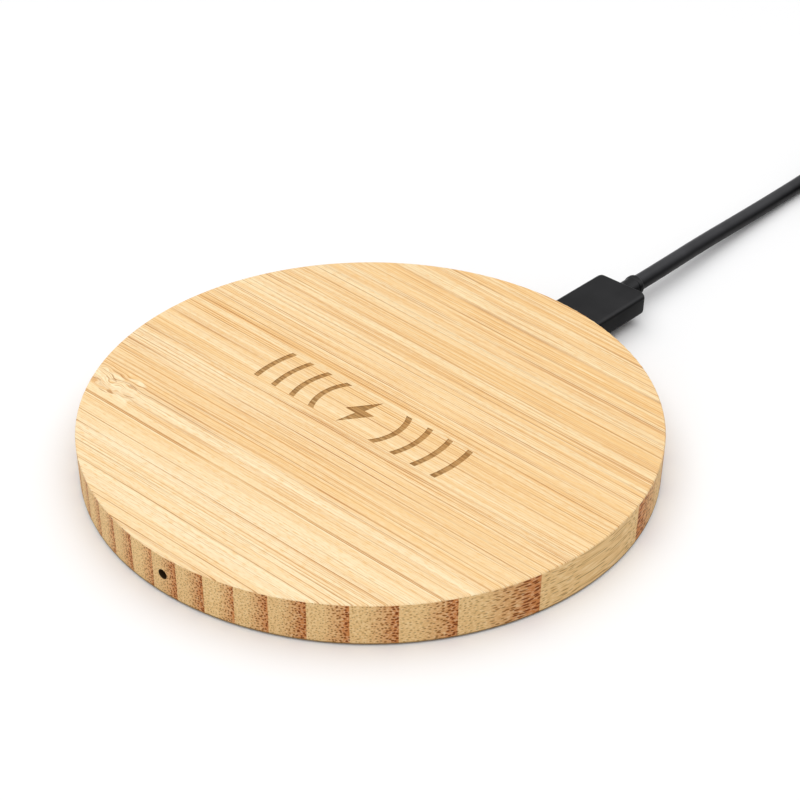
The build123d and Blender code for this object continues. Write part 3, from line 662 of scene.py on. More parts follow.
@dataclass(frozen=True)
class Woven(Finish):
    """Hook-and-loop strap: a woven nylon ground under a short brushed pile.

    Reads the strap's own UV, in millimetres along it and across it.
    """

    thread_mm: float = 0.45
    lit: str = "#3A3A3E"

    def pattern(self, add: Adder, shader: Node, place: Node) -> None:
        """Draws over-and-under threads with fuzz over them, and paints raised threads and fuzz lighter as
        highlight.
        """
        along, across, _ = add("SeparateXYZ", add("TexCoord").outputs["UV"]).outputs
        warp = add("Math PINGPONG", along, self.thread_mm / 2)
        weft = add("Math PINGPONG", across, self.thread_mm / 2)
        height = add("Math", warp, weft)
        pile = add("TexNoise", {"Vector": place, "Scale": 1 / 0.2, "Detail": 3.0})
        height = add("Math MULTIPLY_ADD", pile, 0.5, height)
        # painted highlight: raised threads and fuzz are painted lighter
        mask = add("MapRange", height, 0.35, 0.75, 0.0, 0.8)
        colour = painted(add, self.colour, (mask, self.lit))
        bump = add("Bump", {"Height": height, "Distance": 0.12 * MM, "Strength": 0.9})
        feed(shader, {"Base Color": colour, "Normal": bump})
        feed(shader, {"Sheen Weight": 0.3, "Sheen Roughness": 0.5})


@dataclass(frozen=True)
class Clear(Finish):
    """Clear or tinted moulding that lets light through, with faint flow marks."""

    clarity: float = 0.9

    def pattern(self, add: Adder, shader: Node, place: Node) -> None:
        """Sets how clear it is, and draws the flow marks."""
        feed(shader, {"Transmission Weight": self.clarity})
        flow = add("TexNoise", {"Vector": place, "Scale": 1 / 0.9, "Detail": 2.0, "Distortion": 0.6})
        bump = add("Bump", {"Height": flow, "Distance": 0.004 * MM, "Strength": 1.0})
        feed(shader, {"Normal": bump})


# Bamboo laminate, sanded: banded tan and brown end grain full of dots, with no gloss, and painted shade
# on its bottom corner and in the bored hole.
BAMBOO_EDGE = BambooEdge("bamboo_laminated_sanded_edge", "#E8C287", roughness=0.6, shine=0.12)
# Bamboo, sanded and oiled: warm cream with fine golden-brown lines and a soft, dry sheen.
BAMBOO_FACE = BambooFace("bamboo_sanded_oiled_face", "#FFEBC4", roughness=0.5, shine=0.12, edge=BAMBOO_EDGE)
# ABS, moulded: charcoal, evenly stippled, so it looks dull and dry.
COVER_ABS = Moulded(
    "abs_moulded_black_cover", "#202022", roughness=0.55, ior=1.53, pebble_mm=0.35, depth_mm=0.012
)
# Silicone, moulded: softer and duller than the cover, with a rubbery bloom.
SILICONE = Moulded(
    "silicone_moulded_black", "#232324", roughness=0.62, ior=1.41, pebble_mm=0.5, depth_mm=0.01
)
# Thermoplastic elastomer, moulded: deep satin black, with painted highlights on top and along its edges.
PLUG_TPE = Moulded(
    "tpe_moulded_satin_black", "#0B0B0C", 0.36, shine=0.05, depth_mm=0.003, top_light="#2E2E2F", edge_highlight_strength=0.22
)
# PVC, extruded: satin black with one soft painted highlight along the top of the cord.
JACKET_PVC = Moulded(
    "pvc_extruded_satin_black", "#080809", roughness=0.36, shine=0.08, pebble_mm=0.3, top_light="#454547"
)
# Liquid crystal polymer, moulded: hard, even, nearly black.
LCP_BLACK = Moulded("lcp_moulded_black", "#1C1C1E", roughness=0.45, ior=1.6)
# PBT, moulded: a clean, slightly warm white with a soft gloss.
PBT_WHITE = Moulded("pbt_moulded_white", "#E4E4DF", roughness=0.35, ior=1.55)
# Epoxy, moulded: the fine-grained dark grey of a chip.
EPOXY_CHIP = Moulded("epoxy_moulded_chip", "#1D1D1F", roughness=0.5, ior=1.55, pebble_mm=0.1, depth_mm=0.006)
# Acrylic foam tape: off-white, open and matt.
TAPE = Moulded("acrylic_foam_tape", "#DAD5C6", roughness=0.7, pebble_mm=0.4, depth_mm=0.02)
# Steel, drawn and nickel plated: bright, with faint lines along the plug.
STEEL_DRAWN = Drawn("steel_drawn_nickel_plated", "#CFCDC8", roughness=0.24, line_mm=(0.05, 3.0, 0.05))
# Steel, zinc plated: cool and a little cloudy.
STEEL_ZINC = Drawn("steel_zinc_plated_screw", "#C3C6C8", roughness=0.34, line_mm=(0.3, 0.3, 0.3))
# Steel, nickel plated: warmer and brighter than zinc.
STEEL_NICKEL = Drawn("steel_nickel_plated_screw", "#CBC4B6", roughness=0.3, line_mm=(0.3, 0.3, 0.3))
# Kovar, stamped: a pale straw metal lid with fine rolling lines.
CRYSTAL_LID = Drawn("kovar_seam_welded_lid", "#D0C9B4", roughness=0.3, line_mm=(1.0, 0.04, 0.04))
# Gold plate: bright yellow contacts, duller where they wipe.
GOLD = Drawn("gold_plated_contact", "#E8BC5A", roughness=0.22, line_mm=(0.04, 1.5, 0.04), dull="#B98F3E")
# Ferrite, sintered: a dark, dry sheet with a faint sparkle of grain.
FERRITE = Sintered("ferrite_sintered_sheet", "#2A2A2C", roughness=0.55, speck="#3C3C3F")
# Iron powder, pressed: a grey block, speckled and matt.
INDUCTOR = Sintered("iron_powder_pressed_inductor", "#3A3A3C", roughness=0.6, speck="#5C5A57")
# Ceramic, fired: the tan of a chip capacitor with a low sheen.
CAPACITOR = Sintered("ceramic_fired_capacitor", "#8A6A48", roughness=0.42, speck="#A98960")
# Ceramic, glazed: a near-black glaze with a clear gloss.
RESISTOR = Sintered("ceramic_glazed_resistor", "#26262A", roughness=0.3, speck="#3D3D44")
# Glass-fibre board under solder mask: glossy green with raised tracks and gold dots.
BOARD = SolderMask("fibreglass_board_green_mask", "#0F4A27", roughness=0.3, ior=1.55)
# Copper litz, enamelled and twisted: warm, with thin lines of painted shade between its strands.
LITZ = Stranded("copper_litz_enamelled", "#C9703A", roughness=0.34)
# Copper, enamelled: the same tone, unbroken.
COPPER_ROUND = Drawn(
    "copper_enamelled_lead", "#C9703A", roughness=0.34, line_mm=(0.1, 0.1, 0.1), dull="#8A4A24"
)
# Nylon, woven and brushed: soft black, with a painted highlight on its raised threads and fuzz.
STRAP = Woven("nylon_hook_and_loop_strap", "#19191B", roughness=0.85)
# Polycarbonate, moulded, smoke tinted: dark until the light behind it is on.
PIPE = Clear("polycarbonate_smoke_pipe", "#3A3632", roughness=0.1, ior=1.58, clarity=0.6)
# Epoxy, cast: a clear, faintly blue lens.
LENS = Clear("epoxy_water_clear_lens", "#EEF6FF", roughness=0.1, ior=1.53, clarity=0.8)
# Glass, dipped: a small amber bead that catches the light.
BEAD = Clear("glass_amber_bead", "#C46A22", roughness=0.1, ior=1.52, clarity=0.5)
# Table top, painted matt: even white that takes soft shadows.
TABLE = Finish("table_matt_white", "#FBFBFB", roughness=0.9)


# ---- surfaces ----------------------------------------------------------------------------------------


def surface(name: str, points: Array, uv: Array | None = None) -> Piece:
    """Makes a closed tube-like surface from a grid of points.

    Each row is one closed ring, joined to the next row; the first and last rings are closed by fans to
    their own middle points. Rings run so that faces point outwards when each ring turns anticlockwise
    seen against the way the rows advance.

    Args:
        name: the piece's name.
        points: rows by columns by 3, in metres.
        uv: rows by columns + 1 by 2, or None for no UV map.

    Returns:
        The new object, shaded smooth up to 35 degrees.
    """
    rows, columns, _ = points.shape
    index = np.arange(rows * columns).reshape(rows, columns)
    following = np.roll(index, -1, axis=1)
    quads = np.stack((index[:-1], following[:-1], following[1:], index[1:]), axis=-1).reshape(-1, 4)
    first, last = rows * columns, rows * columns + 1
    lower = np.stack((following[0], index[0], np.full(columns, first)), axis=-1)
    upper = np.stack((index[-1], following[-1], np.full(columns, last)), axis=-1)
    vertices = np.concatenate((points.reshape(-1, 3), points[:1].mean(1), points[-1:].mean(1)))
    mesh = bpy.data.meshes.new(name)
    mesh.from_pydata(vertices.tolist(), [], quads.tolist() + lower.tolist() + upper.tolist())
    if uv is not None:
        corners = np.stack((uv[:-1, :-1], uv[:-1, 1:], uv[1:, 1:], uv[1:, :-1]), axis=2).reshape(-1, 2)
        ends = np.zeros((6 * columns, 2))
        layer = mesh.uv_layers.new(name="UVMap")
        layer.data.foreach_set("uv", np.concatenate((corners, ends)).astype(np.float32).ravel())
    mesh.validate()
    return finished(name, mesh)


def finished(name: str, mesh: bpy.types.Mesh) -> Piece:
    """Shades a mesh smooth up to an angle and puts it in the scene.

    Args:
        name: the piece's name.
        mesh: its mesh.

    Returns:
        The new object.
    """
    mesh.polygons.foreach_set("use_smooth", np.ones(len(mesh.polygons), bool))
    mesh.set_sharp_from_angle(angle=SHARP)
    piece = bpy.data.objects.new(name, mesh)
    bpy.context.scene.collection.objects.link(piece)
    return piece


def rounded_ring(half_width: Array, half_height: Array, corner: Array, steps: int) -> Array:
    """Rounded rectangles as rings of points.

    A point is a corner's centre plus the corner's radius times the cosine and sine of its angle, and the
    centre lies a radius in from both sides.

    Args:
        half_width: each ring's half width.
        half_height: each ring's half height.
        corner: each ring's corner radius.
        steps: points in each quarter.

    Returns:
        Rings by 4 * steps by 2: across, then up, anticlockwise.
    """
    quarter = np.linspace(0, math.pi / 2, steps)
    angle = np.concatenate([quarter + i * math.pi / 2 for i in range(4)])
    side = np.repeat([1, -1, -1, 1], steps)
    level = np.repeat([1, 1, -1, -1], steps)
    across = side * (half_width - corner)[:, None] + corner[:, None] * np.cos(angle)
    up = level * (half_height - corner)[:, None] + corner[:, None] * np.sin(angle)
    return np.stack((across, up), axis=-1)


def turned(name: str, stations: Array, radii: Array, middle: tuple[float, float]) -> Piece:
    """A turned piece about a line along Y: each ring is a circle of its station's radius.

    Args:
        name: the piece's name.
        stations: each ring's y in mm, rising.
        radii: each ring's radius in mm.
        middle: the x and z of the line, in mm.

    Returns:
        The new object.
    """
    angle = np.linspace(0, TAU, 64, endpoint=False)
    x = middle[0] + radii[:, None] * np.cos(angle)
    z = middle[1] - radii[:, None] * np.sin(angle)
    y = np.broadcast_to(stations[:, None], x.shape)
    return surface(name, np.stack((x, y, z), axis=-1) * MM)


def eased(from_end: Array, radius: float) -> Array:
    """How far a side pulls in near a rounded end.

    Args:
        from_end: distances from the end.
        radius: the rounding's radius.

    Returns:
        The radius less the height of its circle, and nothing past the rounding.
    """
    into = radius - np.clip(from_end, 0, radius)
    return radius - np.sqrt(radius**2 - into**2)


def rounded_stations(span: float, radius: float, count: int) -> Array:
    """Places along a grip with rounded ends, crowded where it rounds.

    Args:
        span: the grip's length, in mm.
        radius: how far each end's rounding reaches, in mm.
        count: two more than the places that lie between the roundings.

    Returns:
        The places, from 0 to the span: radius times one less a cosine near the ends, even between.
    """
    near = radius * (1 - np.cos(np.linspace(0, math.pi / 2, 9)))
    between = np.linspace(0, 1, count)[1:-1] * (span - 2 * radius) + radius
    return np.concatenate((near, between, span - near[::-1]))


def lofted(name: str, stations: Array, ring: Array, middle: tuple[float, float]) -> Piece:
    """Joins upright rings along Y.

    Args:
        name: the piece's name.
        stations: each ring's y in mm, rising.
        ring: rings by points by 2, across and up, in mm.
        middle: the x and z that the rings are about, in mm.

    Returns:
        The new object.
    """
    x = middle[0] - ring[..., 0]
    z = middle[1] + ring[..., 1]
    y = np.broadcast_to(stations[:, None], x.shape)
    return surface(name, np.stack((x, y, z), axis=-1) * MM)


def evenly(points: Array, normals: Array, count: int) -> tuple[Array, Array]:
    """Places points evenly along a closed line, by interpolating on the distance travelled.

    Args:
        points: the line's points, in two dimensions.
        normals: the outward direction at each.
        count: how many to place.

    Returns:
        The new points and their directions.
    """
    closed = np.concatenate((points, points[:1]))
    turned_normals = np.concatenate((normals, normals[:1]))
    travelled = np.concatenate(([0], np.cumsum(np.linalg.norm(np.diff(closed, axis=0), axis=1))))
    at = np.linspace(0, travelled[-1], count, endpoint=False)
    place = np.stack([np.interp(at, travelled, closed[:, i]) for i in (0, 1)], axis=-1)
    facing = np.stack([np.interp(at, travelled, turned_normals[:, i]) for i in (0, 1)], axis=-1)
    return place, facing / np.linalg.norm(facing, axis=1, keepdims=True)


def looped(name: str, points: Array, uv: Array | None = None) -> Piece:
    """Makes a ring-shaped surface from a grid that closes both ways.

    Args:
        name: the piece's name.
        points: rows by columns by 3, in metres; the last row joins the first.
        uv: rows + 1 by columns + 1 by 2, or None for no UV map.

    Returns:
        The new object.
    """
    rows, columns, _ = points.shape
    index = np.arange(rows * columns).reshape(rows, columns)
    right = np.roll(index, -1, axis=1)
    below = np.roll(index, -1, axis=0)
    corner = np.roll(below, -1, axis=1)
    quads = np.stack((index, right, corner, below), axis=-1).reshape(-1, 4)
    mesh = bpy.data.meshes.new(name)
    mesh.from_pydata(points.reshape(-1, 3).tolist(), [], quads.tolist())
    if uv is not None:
        corners = np.stack((uv[:-1, :-1], uv[:-1, 1:], uv[1:, 1:], uv[1:, :-1]), axis=2)
        layer = mesh.uv_layers.new(name="UVMap")
        layer.data.foreach_set("uv", corners.astype(np.float32).ravel())
    return finished(name, mesh)


# ---- sub-assemblies ----------------------------------------------------------------------------------


class Body(Enum):
    """The two bodies of the frame: the pad, and the lead that pulls out of it."""

    PAD = "pad"
    LEAD = "lead"


@dataclass
class SubAssembly:
    """Pieces that are made and dressed together, and that ride on one body."""

    body: Body = Body.PAD

    def dress_nodes(self, **finishes: Finish) -> None:
        """Gives carried-over CAD nodes, by name, their finishes."""
        for node, finish in finishes.items():
            finish.dress(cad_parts[node])
            LOG.info("%s: %s", node, finish.name)

    def place(self, piece: Piece, finish: Finish, slot: str, *nodes: str) -> None:
        """Dresses a new piece, sets it on the body, and lets it stand for CAD nodes.

        Args:
            piece: the new object, in place.
            finish: the finish it gets.
            slot: the record's material slot; not used.
            *nodes: the CAD nodes it replaces.
        """
        finish.dress(piece)
        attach(piece, self.body.value)
        if nodes:
            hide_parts(*nodes)
        LOG.info("%s: %s, in place of %s", piece.name, finish.name, ", ".join(nodes) or "nothing")


@dataclass
class Studio:
    """The camera, two soft lights, a dim even room and the white table."""

    camera_mm: tuple[float, float, float] = (159.34, -163.85, 168.68)
    right: tuple[float, float, float] = (0.72711, 0.68646, 0.00944)
    up: tuple[float, float, float] = (-0.39749, 0.40974, 0.82105)
    back: tuple[float, float, float] = (0.55975, -0.60074, 0.57078)
    lens_mm: float = 73.5

    def build(self) -> None:
        """Makes everything that isn't the object."""
        self.add_camera()
        self.add_table()
        self.add_lights()
        bpy.context.scene.view_settings.view_transform = "Standard"
        LOG.info("studio: camera, table and lights")

    def add_camera(self) -> None:
        """A 36 mm sensor behind a short telephoto lens, level to within a degree."""
        lens = bpy.data.cameras.new("camera")
        lens.lens = self.lens_mm
        lens.sensor_width = 36.0
        lens.clip_start, lens.clip_end = 0.01, 20.0
        camera = bpy.data.objects.new("camera", lens)
        turn = Matrix((self.right, self.up, self.back)).transposed().to_4x4()
        camera.matrix_world = Matrix.Translation(Vector(self.camera_mm) * MM) @ turn
        bpy.context.scene.collection.objects.link(camera)
        bpy.context.scene.camera = camera

    def add_table(self) -> None:
        """A white table top, wide enough to fill every view."""
        mesh = bpy.data.meshes.new("table")
        half = 6.0
        corners = [(-half, -half, 0), (half, -half, 0), (half, half, 0), (-half, half, 0)]
        mesh.from_pydata(corners, [], [(0, 1, 2, 3)])
        table = bpy.data.objects.new("table", mesh)
        bpy.context.scene.collection.objects.link(table)
        TABLE.dress(table)

    def add_lights(self) -> None:
        """A wide soft box overhead, a weaker one in front, and a dim even room."""
        self.add_area("overhead", (-0.05, 0.08, 0.8), 1.5, 8.4)
        self.add_area("front", (0.25, -0.8, 0.5), 0.8, 1.8)
        room = bpy.data.worlds.new("room")
        bpy.context.scene.world = room
        room.use_nodes = True
        feed(room.node_tree.nodes["Background"], {"Color": "#F9F9FA", "Strength": 0.4})

    def add_area(self, name: str, place: tuple, size: float, watts: float) -> None:
        """A square soft light that faces the origin.

        Args:
            name: the light's name.
            place: where it stands, in metres.
            size: its side, in metres.
            watts: its power.
        """
        lamp = bpy.data.lights.new(name, "AREA")
        lamp.energy = watts
        lamp.size = size
        light = bpy.data.objects.new(name, lamp)
        light.location = place
        light.rotation_euler = (-Vector(place)).to_track_quat("-Z", "Y").to_euler()
        bpy.context.scene.collection.objects.link(light)


@dataclass
class SpareLead(SubAssembly):
    """The cord from the plug to the far plug, with its spare length in a tied coil."""

    body: Body = Body.LEAD
    radius_mm: float = 1.65
    run_mm: tuple = (
        (4.0, 70.6, 4.2),
        (4.0, 80.0, 4.2),
        (3.1, 94.0, 3.5),
        (2.4, 112.0, 2.5),
        (1.75, 131.0, 1.85),
        (1.5, 144.0, 1.95),
    )
    tail_mm: tuple = (
        (47.4, 147.5, 5.2),
        (47.9, 140.5, 3.7),
        (48.8, 133.5, 2.9),
        (49.6, 126.5, 4.05),
        (49.6, 120.0, 4.05),
    )
    coil_centre_mm: tuple[float, float] = (24.5, 154.0)
    outer_turn_mm: float = 23.875
    inner_turn_mm: float = 11.125
    low_mm: float = 2.3
    high_mm: float = 5.6
    turns_per_layer: float = 3.75
    points_per_turn: int = 16
    length: float = 0.943
    tie_degrees: float = 80.0
    tie_width_mm: float = 6.0
    tie_thickness_mm: float = 0.6
    tie_level_mm: tuple[float, float] = (0.34, 7.6)
    tie_slack_mm: float = 0.35
    tie_corner_mm: float = 1.1
    tie_lap_mm: float = 0.5
    tie_lap_from: float = 0.16
    tie_lap_to: float = 0.36
    tie_points: int = 240

    def build(self) -> None:
        """Makes the cord and its tie."""
        self.add_cord()
        self.add_tie()

    def coil_points(self) -> list[tuple[float, float, float]]:
        """Control points of the turns, in mm.

        The lower layer winds clockwise and inwards, and the upper one goes on clockwise and outwards. Each
        point's radius is the turn's radius over the cosine of half the angle between points, since the
        spline runs that much inside its control points.

        Returns:
            The points, from the leftmost of the lower layer to the rightmost of the upper.
        """
        count = round(self.turns_per_layer * self.points_per_turn)
        ease = math.cos(math.pi / self.points_per_turn)
        points = []
        for step in range(2 * count + 1):
            share = step / count
            inward = share if share <= 1 else 2 - share
            radius = self.outer_turn_mm + (self.inner_turn_mm - self.outer_turn_mm) * inward
            rise = min(max((step - count + 2) / 5, 0), 1)  # climbs over five steps as the layers change
            height = self.low_mm + (self.high_mm - self.low_mm) * rise
            angle = math.pi - TAU * step / self.points_per_turn
            x = self.coil_centre_mm[0] + radius / ease * math.cos(angle)
            y = self.coil_centre_mm[1] + radius / ease * math.sin(angle)
            points.append((x, y, height))
        return points

    def add_cord(self) -> None:
        """One open NURBS curve through the run, the turns and the tail, with a round bevel."""
        route = [*self.run_mm, *self.coil_points(), *self.tail_mm]
        curve = bpy.data.curves.new("cord", "CURVE")
        curve.dimensions = "3D"
        curve.resolution_u = 8
        curve.bevel_depth = self.radius_mm * MM
        curve.bevel_resolution = 5
        curve.use_fill_caps = True
        spline = curve.splines.new("NURBS")
        spline.points.add(len(route) - 1)
        for point, place in zip(spline.points, route):
            point.co = (*(c * MM for c in place), 1.0)
        spline.order_u = 3
        spline.use_endpoint_u = True
        spline.use_smooth = True
        cord = bpy.data.objects.new("cord", curve)
        bpy.context.scene.collection.objects.link(cord)
        self.place(cord, JACKET_PVC, "cord_jacket", "cord_run", "cord_coil", "cord_tail")

    def add_tie(self) -> None:
        """The strap: a rounded-rectangle loop round the coil's section, with its end lapped over itself.

        A point is the loop's place plus its outward normal times half the strap's thickness times the
        section's height, plus the strap's width times the section's across. The lap raises the outside
        over a fifth of the loop, steeply at its start and more gently at its end.
        """
        hole = math.sqrt((self.inner_turn_mm - self.radius_mm) ** 2 - (self.tie_width_mm / 2) ** 2)
        inner = hole - self.tie_slack_mm
        outer = self.outer_turn_mm + self.radius_mm + self.tie_slack_mm
        (low, high), count, steps = self.tie_level_mm, self.tie_points, 40
        corner = np.array([self.tie_corner_mm])
        loop = rounded_ring(np.array([(outer - inner) / 2]), np.array([(high - low) / 2]), corner, steps)[0]
        quarter = np.linspace(0, math.pi / 2, steps)
        turn = np.concatenate([quarter + i * math.pi / 2 for i in range(4)])
        normal = np.stack((np.cos(turn), np.sin(turn)), axis=-1)
        loop, normal = evenly(loop, normal, count)
        travelled = np.linspace(0, 1, count, endpoint=False)
        lap = np.clip((travelled - self.tie_lap_from) / 0.004, 0, 1)
        lap *= np.clip((self.tie_lap_to - travelled) / 0.01, 0, 1)
        section = rounded_ring(np.array([self.tie_width_mm / 2]), np.array([0.5]), np.array([0.24]), 5)[0]
        section[:, 1] = np.clip(section[:, 1] / 0.5, -1, 1)
        outside = (section[:, 1] > 0) * self.tie_lap_mm * lap[:, None]
        raised = self.tie_thickness_mm / 2 * section[:, 1] + outside
        reach = loop[:, None, 0] + normal[:, None, 0] * raised + (outer + inner) / 2
        up = loop[:, None, 1] + normal[:, None, 1] * raised + (high + low) / 2
        angle = math.radians(self.tie_degrees)
        across = np.broadcast_to(section[None, :, 0], reach.shape)
        x = self.coil_centre_mm[0] + reach * math.cos(angle) + across * math.sin(angle)
        y = self.coil_centre_mm[1] + reach * math.sin(angle) - across * math.cos(angle)
        length_mm = 2 * (outer - inner + high - low)
        rows = np.arange(count + 1) * length_mm / count
        columns = np.linspace(0, 2 * self.tie_width_mm, len(section) + 1)
        uv = np.stack(np.meshgrid(rows, columns, indexing="ij"), axis=-1)
        tie = looped("cord_tie_strap", np.stack((x, y, up), axis=-1) * MM, uv)
        self.place(tie, STRAP, "strap_fabric", "cord_tie")


@dataclass
class WoodenBody(SubAssembly):
    """The bamboo face and the laminated core: solids whose shape is right, under wood that runs through."""

    def build(self) -> None:
        """Dresses the face and the core."""
        self.dress_nodes(face_veneer=BAMBOO_FACE, bamboo_core=BAMBOO_EDGE)


@dataclass
class Underside(SubAssembly):
    """The moulded cover, its screws, and the silicone ring with its grooves."""

    ring_inner_mm: float = 40.5
    ring_outer_mm: float = 45.5
    ring_top_mm: float = 0.95
    groove_pitch_mm: float = 1.0
    groove_depth_mm: float = 0.16
    plain_rim_mm: float = 0.3
    rounding_mm: float = 0.15

    def build(self) -> None:
        """Dresses the cover and screws, and makes the ring."""
        self.dress_nodes(bottom_cover=COVER_ABS, cover_screws=STEEL_ZINC)
        self.add_ring()

    def add_ring(self) -> None:
        """The ring's profile turned about the pad's axis.

        The profile is a rectangle whose lower corners are rounded; its foot is lifted by half the groove's
        depth times one plus the cosine of the radius over the groove's pitch, to no more than the depth.
        """
        radii = np.linspace(self.ring_inner_mm, self.ring_outer_mm, 61)
        waves = (radii - self.ring_inner_mm) / self.groove_pitch_mm
        foot = self.groove_depth_mm * np.clip(np.cos(TAU * waves) * 1.6 - 0.6, 0, 1)
        rim = np.minimum(radii - self.ring_inner_mm, self.ring_outer_mm - radii)
        foot = np.where(rim < self.plain_rim_mm, 0.0, foot)
        foot += eased(rim, self.rounding_mm)
        foot_points = np.stack((radii, foot), axis=-1)
        top = np.array([[self.ring_outer_mm, self.ring_top_mm], [self.ring_inner_mm, self.ring_top_mm]])
        profile = np.concatenate((foot_points, top))
        angle = np.linspace(0, TAU, 256, endpoint=False)
        x = profile[None, :, 0] * np.cos(angle)[:, None]
        y = profile[None, :, 0] * np.sin(angle)[:, None]
        z = np.broadcast_to(profile[None, :, 1], x.shape)
        ring = looped("anti_slip_foot", np.stack((x, y, z), axis=-1)[:, ::-1] * MM)
        self.place(ring, SILICONE, "silicone", "anti_slip_ring")


@dataclass
class Electronics(SubAssembly):
    """What the pocket holds: the board and its parts, the receptacle, the light and the coil stack."""

    coil_inner_mm: float = 10.0
    coil_outer_mm: float = 22.0
    coil_low_mm: float = 5.4
    coil_high_mm: float = 6.6
    coil_turns: int = 10
    points_per_turn: int = 72

    def build(self) -> None:
        """Dresses the nodes and winds the coil."""
        self.dress_nodes(
            main_board=BOARD,
            board_screws=STEEL_NICKEL,
            controller_chip=EPOXY_CHIP,
            bridge_drivers=EPOXY_CHIP,
            resonant_capacitors=CAPACITOR,
            power_inductor=INDUCTOR,
            chip_capacitors=CAPACITOR,
            chip_resistors=RESISTOR,
            clock_crystal=CRYSTAL_LID,
            light_holder=PBT_WHITE,
            status_light=LENS,
            light_pipe=PIPE,
            coil_adhesive=TAPE,
            ferrite_adhesive=TAPE,
            ferrite_sheet=FERRITE,
            coil_leads=COPPER_ROUND,
            thermistor=BEAD,
            receptacle_shell=STEEL_DRAWN,
            receptacle_contacts=GOLD,
            receptacle_tongue=LCP_BLACK,
        )
        self.wind_coil()

    def wind_coil(self) -> None:
        """The winding: an oval section carried along a flat spiral.

        The spiral's radius grows evenly with its angle, by one wire's width a turn. A point is the spiral's
        place plus the radial direction times the half width times a cosine, plus up times the half height
        times a sine.
        """
        wire = (self.coil_outer_mm - self.coil_inner_mm) / self.coil_turns
        turns = self.coil_turns - 1.0
        angle = np.linspace(0, TAU * turns, round(self.points_per_turn * turns))
        radius = self.coil_inner_mm + wire / 2 + wire * angle / TAU
        around = np.linspace(0, TAU, 12, endpoint=False)
        half_width, half_height = wire * 0.49, (self.coil_high_mm - self.coil_low_mm) / 2
        reach = radius[:, None] + half_width * np.cos(around)
        middle = (self.coil_high_mm + self.coil_low_mm) / 2
        z = np.broadcast_to(middle + half_height * np.sin(around), reach.shape)
        x, y = reach * np.cos(angle)[:, None], reach * np.sin(angle)[:, None]
        along = np.concatenate(([0], np.cumsum(np.diff(angle) * radius[1:])))
        across = np.linspace(0, TAU * half_width, 13)
        uv = np.stack(np.meshgrid(along, across, indexing="ij"), axis=-1)
        coil = surface("charging_winding", np.stack((x, y, z), axis=-1)[:, ::-1] * MM, uv)
        self.place(coil, LITZ, "litz_wire", "charging_coil")


@dataclass
class PadPlug(SubAssembly):
    """The slim plug in the pad's rim: steel shell, contacts, flat moulded grip and short round neck."""

    body: Body = Body.LEAD
    middle_mm: tuple[float, float] = (4.0, 4.2)
    front_mm: float = 45.0
    end_mm: float = 66.0
    width_mm: float = 11.5
    height_mm: float = 4.6
    edge_mm: float = 1.0
    corner_mm: float = 0.8
    lip_mm: float = 0.3
    neck_mm: float = 1.9
    collar_mm: float = 2.1

    def build(self) -> None:
        """Dresses the metal and plastic inside, and makes the grip and the neck."""
        self.dress_nodes(plug_shell=STEEL_DRAWN, plug_insulator=LCP_BLACK)
        self.dress_nodes(plug_contacts=GOLD, plug_board=BOARD)
        self.add_grip()
        self.add_neck()

    def add_grip(self) -> None:
        """The grip: rounded rectangles along Y, pulled in at both ends by the corner's circle."""
        span = self.end_mm - self.front_mm
        stations = rounded_stations(span, self.corner_mm, 8)
        from_end = np.minimum(stations, span - stations)
        half_width = self.width_mm / 2 - eased(from_end, self.corner_mm)
        half_height = self.height_mm / 2 - eased(from_end, self.lip_mm)
        ring = rounded_ring(half_width, half_height, np.full(len(stations), self.edge_mm), 9)
        grip = lofted("plug_grip", stations + self.front_mm, ring, self.middle_mm)
        self.place(grip, PLUG_TPE, "plug_plastic", "plug_overmould")

    def add_neck(self) -> None:
        """The neck: circles along Y, flared where it meets the grip, with a rounded collar at its end."""
        flare = [(-0.3, 2.15), (0.0, 2.15), (0.15, 2.02), (0.45, 1.93)]
        waist = [(1.0, self.neck_mm), (3.15, self.neck_mm), (3.35, 1.93), (3.42, 2.02)]
        collar = [(3.58, -0.02), (3.8, 0.0), (4.3, 0.0), (4.48, -0.05), (4.58, -0.16), (4.6, -0.3)]
        profile = np.array(flare + waist + [(y, self.collar_mm + change) for y, change in collar])
        neck = turned("plug_neck", profile[:, 0] + self.end_mm, profile[:, 1], self.middle_mm)
        self.place(neck, PLUG_TPE, "plug_plastic", "plug_strain_relief")


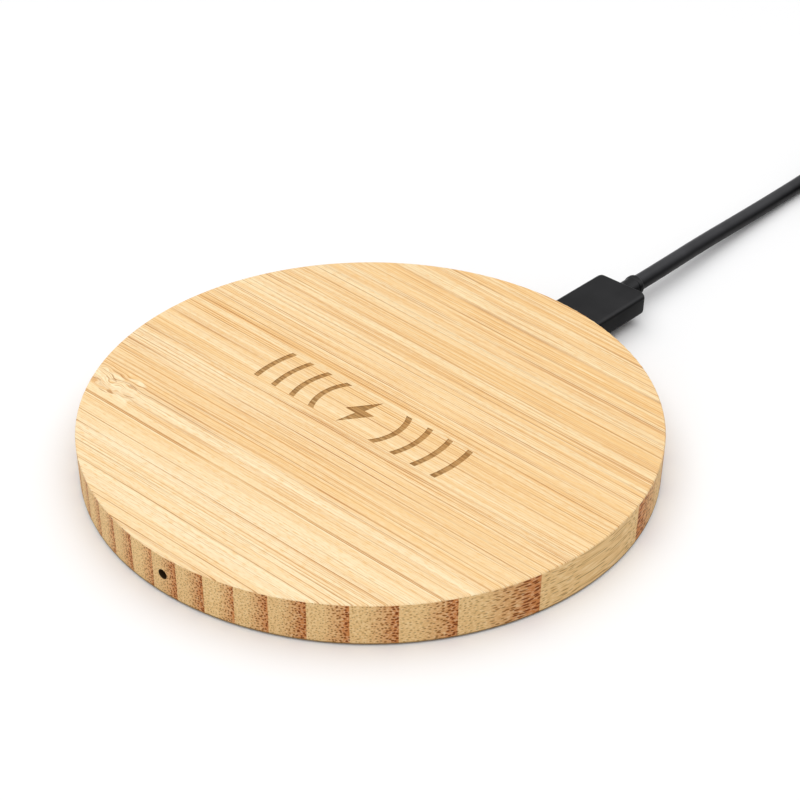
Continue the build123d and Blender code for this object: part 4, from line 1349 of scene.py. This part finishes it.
@dataclass
class FarPlug(SubAssembly):
    """The wide flat plug at the lead's far end."""

    body: Body = Body.LEAD
    middle_mm: tuple[float, float] = (49.6, 4.05)
    front_mm: float = 91.0
    end_mm: float = 110.0
    width_mm: float = 15.6
    height_mm: float = 8.0
    edge_mm: float = 1.5
    end_radius_mm: float = 0.8
    hollow_mm: float = 0.25
    hollow_start_mm: float = 3.0
    relief_end_mm: float = 120.0
    ribs: int = 5
    relief_neck_mm: float = 1.9
    first_rib_mm: float = 3.2
    rib_step_mm: float = 0.25

    def build(self) -> None:
        """Dresses the metal and plastic, and makes the grip and the ribbed relief."""
        self.dress_nodes(far_shell=STEEL_DRAWN, far_insulator=PBT_WHITE, far_contacts=GOLD)
        self.add_grip()
        self.add_relief()

    def add_grip(self) -> None:
        """The grip: rounded rectangles along Y with eased ends and a shallow thumb hollow on both faces.

        The hollow lowers the face by its depth times a raised cosine over its length.
        """
        span = self.end_mm - self.front_mm
        stations = rounded_stations(span, self.end_radius_mm, 26)
        inset = eased(np.minimum(stations, span - stations), self.end_radius_mm)
        share = np.clip((stations - self.hollow_start_mm) / (span - 2 * self.hollow_start_mm), 0, 1)
        half_height = self.height_mm / 2 - inset - self.hollow_mm / 2 * (1 - np.cos(TAU * share))
        corner = np.full(len(stations), self.edge_mm)
        ring = rounded_ring(self.width_mm / 2 - inset, half_height, corner, 9)
        grip = lofted("far_grip", stations + self.front_mm, ring, self.middle_mm)
        self.place(grip, PLUG_TPE, "plug_plastic", "far_overmould")

    def add_relief(self) -> None:
        """The relief: a taper whose radius swells at each rib by a rounded square wave."""
        stations = np.linspace(0, self.relief_end_mm - self.end_mm, 121)
        pitch = (self.relief_end_mm - self.end_mm) / self.ribs
        phase = (stations / pitch) % 1.0
        rib = np.clip(np.minimum(phase + 0.06, 0.62 - phase) / 0.1, 0, 1)
        rib = rib * rib * (3 - 2 * rib)
        number = np.floor(np.minimum(stations / pitch, self.ribs - 0.001))
        crest = self.first_rib_mm - self.rib_step_mm * number
        radii = self.relief_neck_mm + (crest - self.relief_neck_mm) * rib
        relief = turned("far_relief", stations + self.end_mm, radii, self.middle_mm)
        self.place(relief, PLUG_TPE, "plug_plastic", "far_strain_relief")


def main() -> None:
    """Builds each sub-assembly in order, and reports its pieces."""
    logging.basicConfig(level=logging.INFO, format="%(name)s: %(message)s")
    Studio().build()
    SpareLead().build()
    for assembly in (WoodenBody(), Underside(), Electronics(), PadPlug(), FarPlug()):
        assembly.build()


if __name__ == "__main__":
    main()
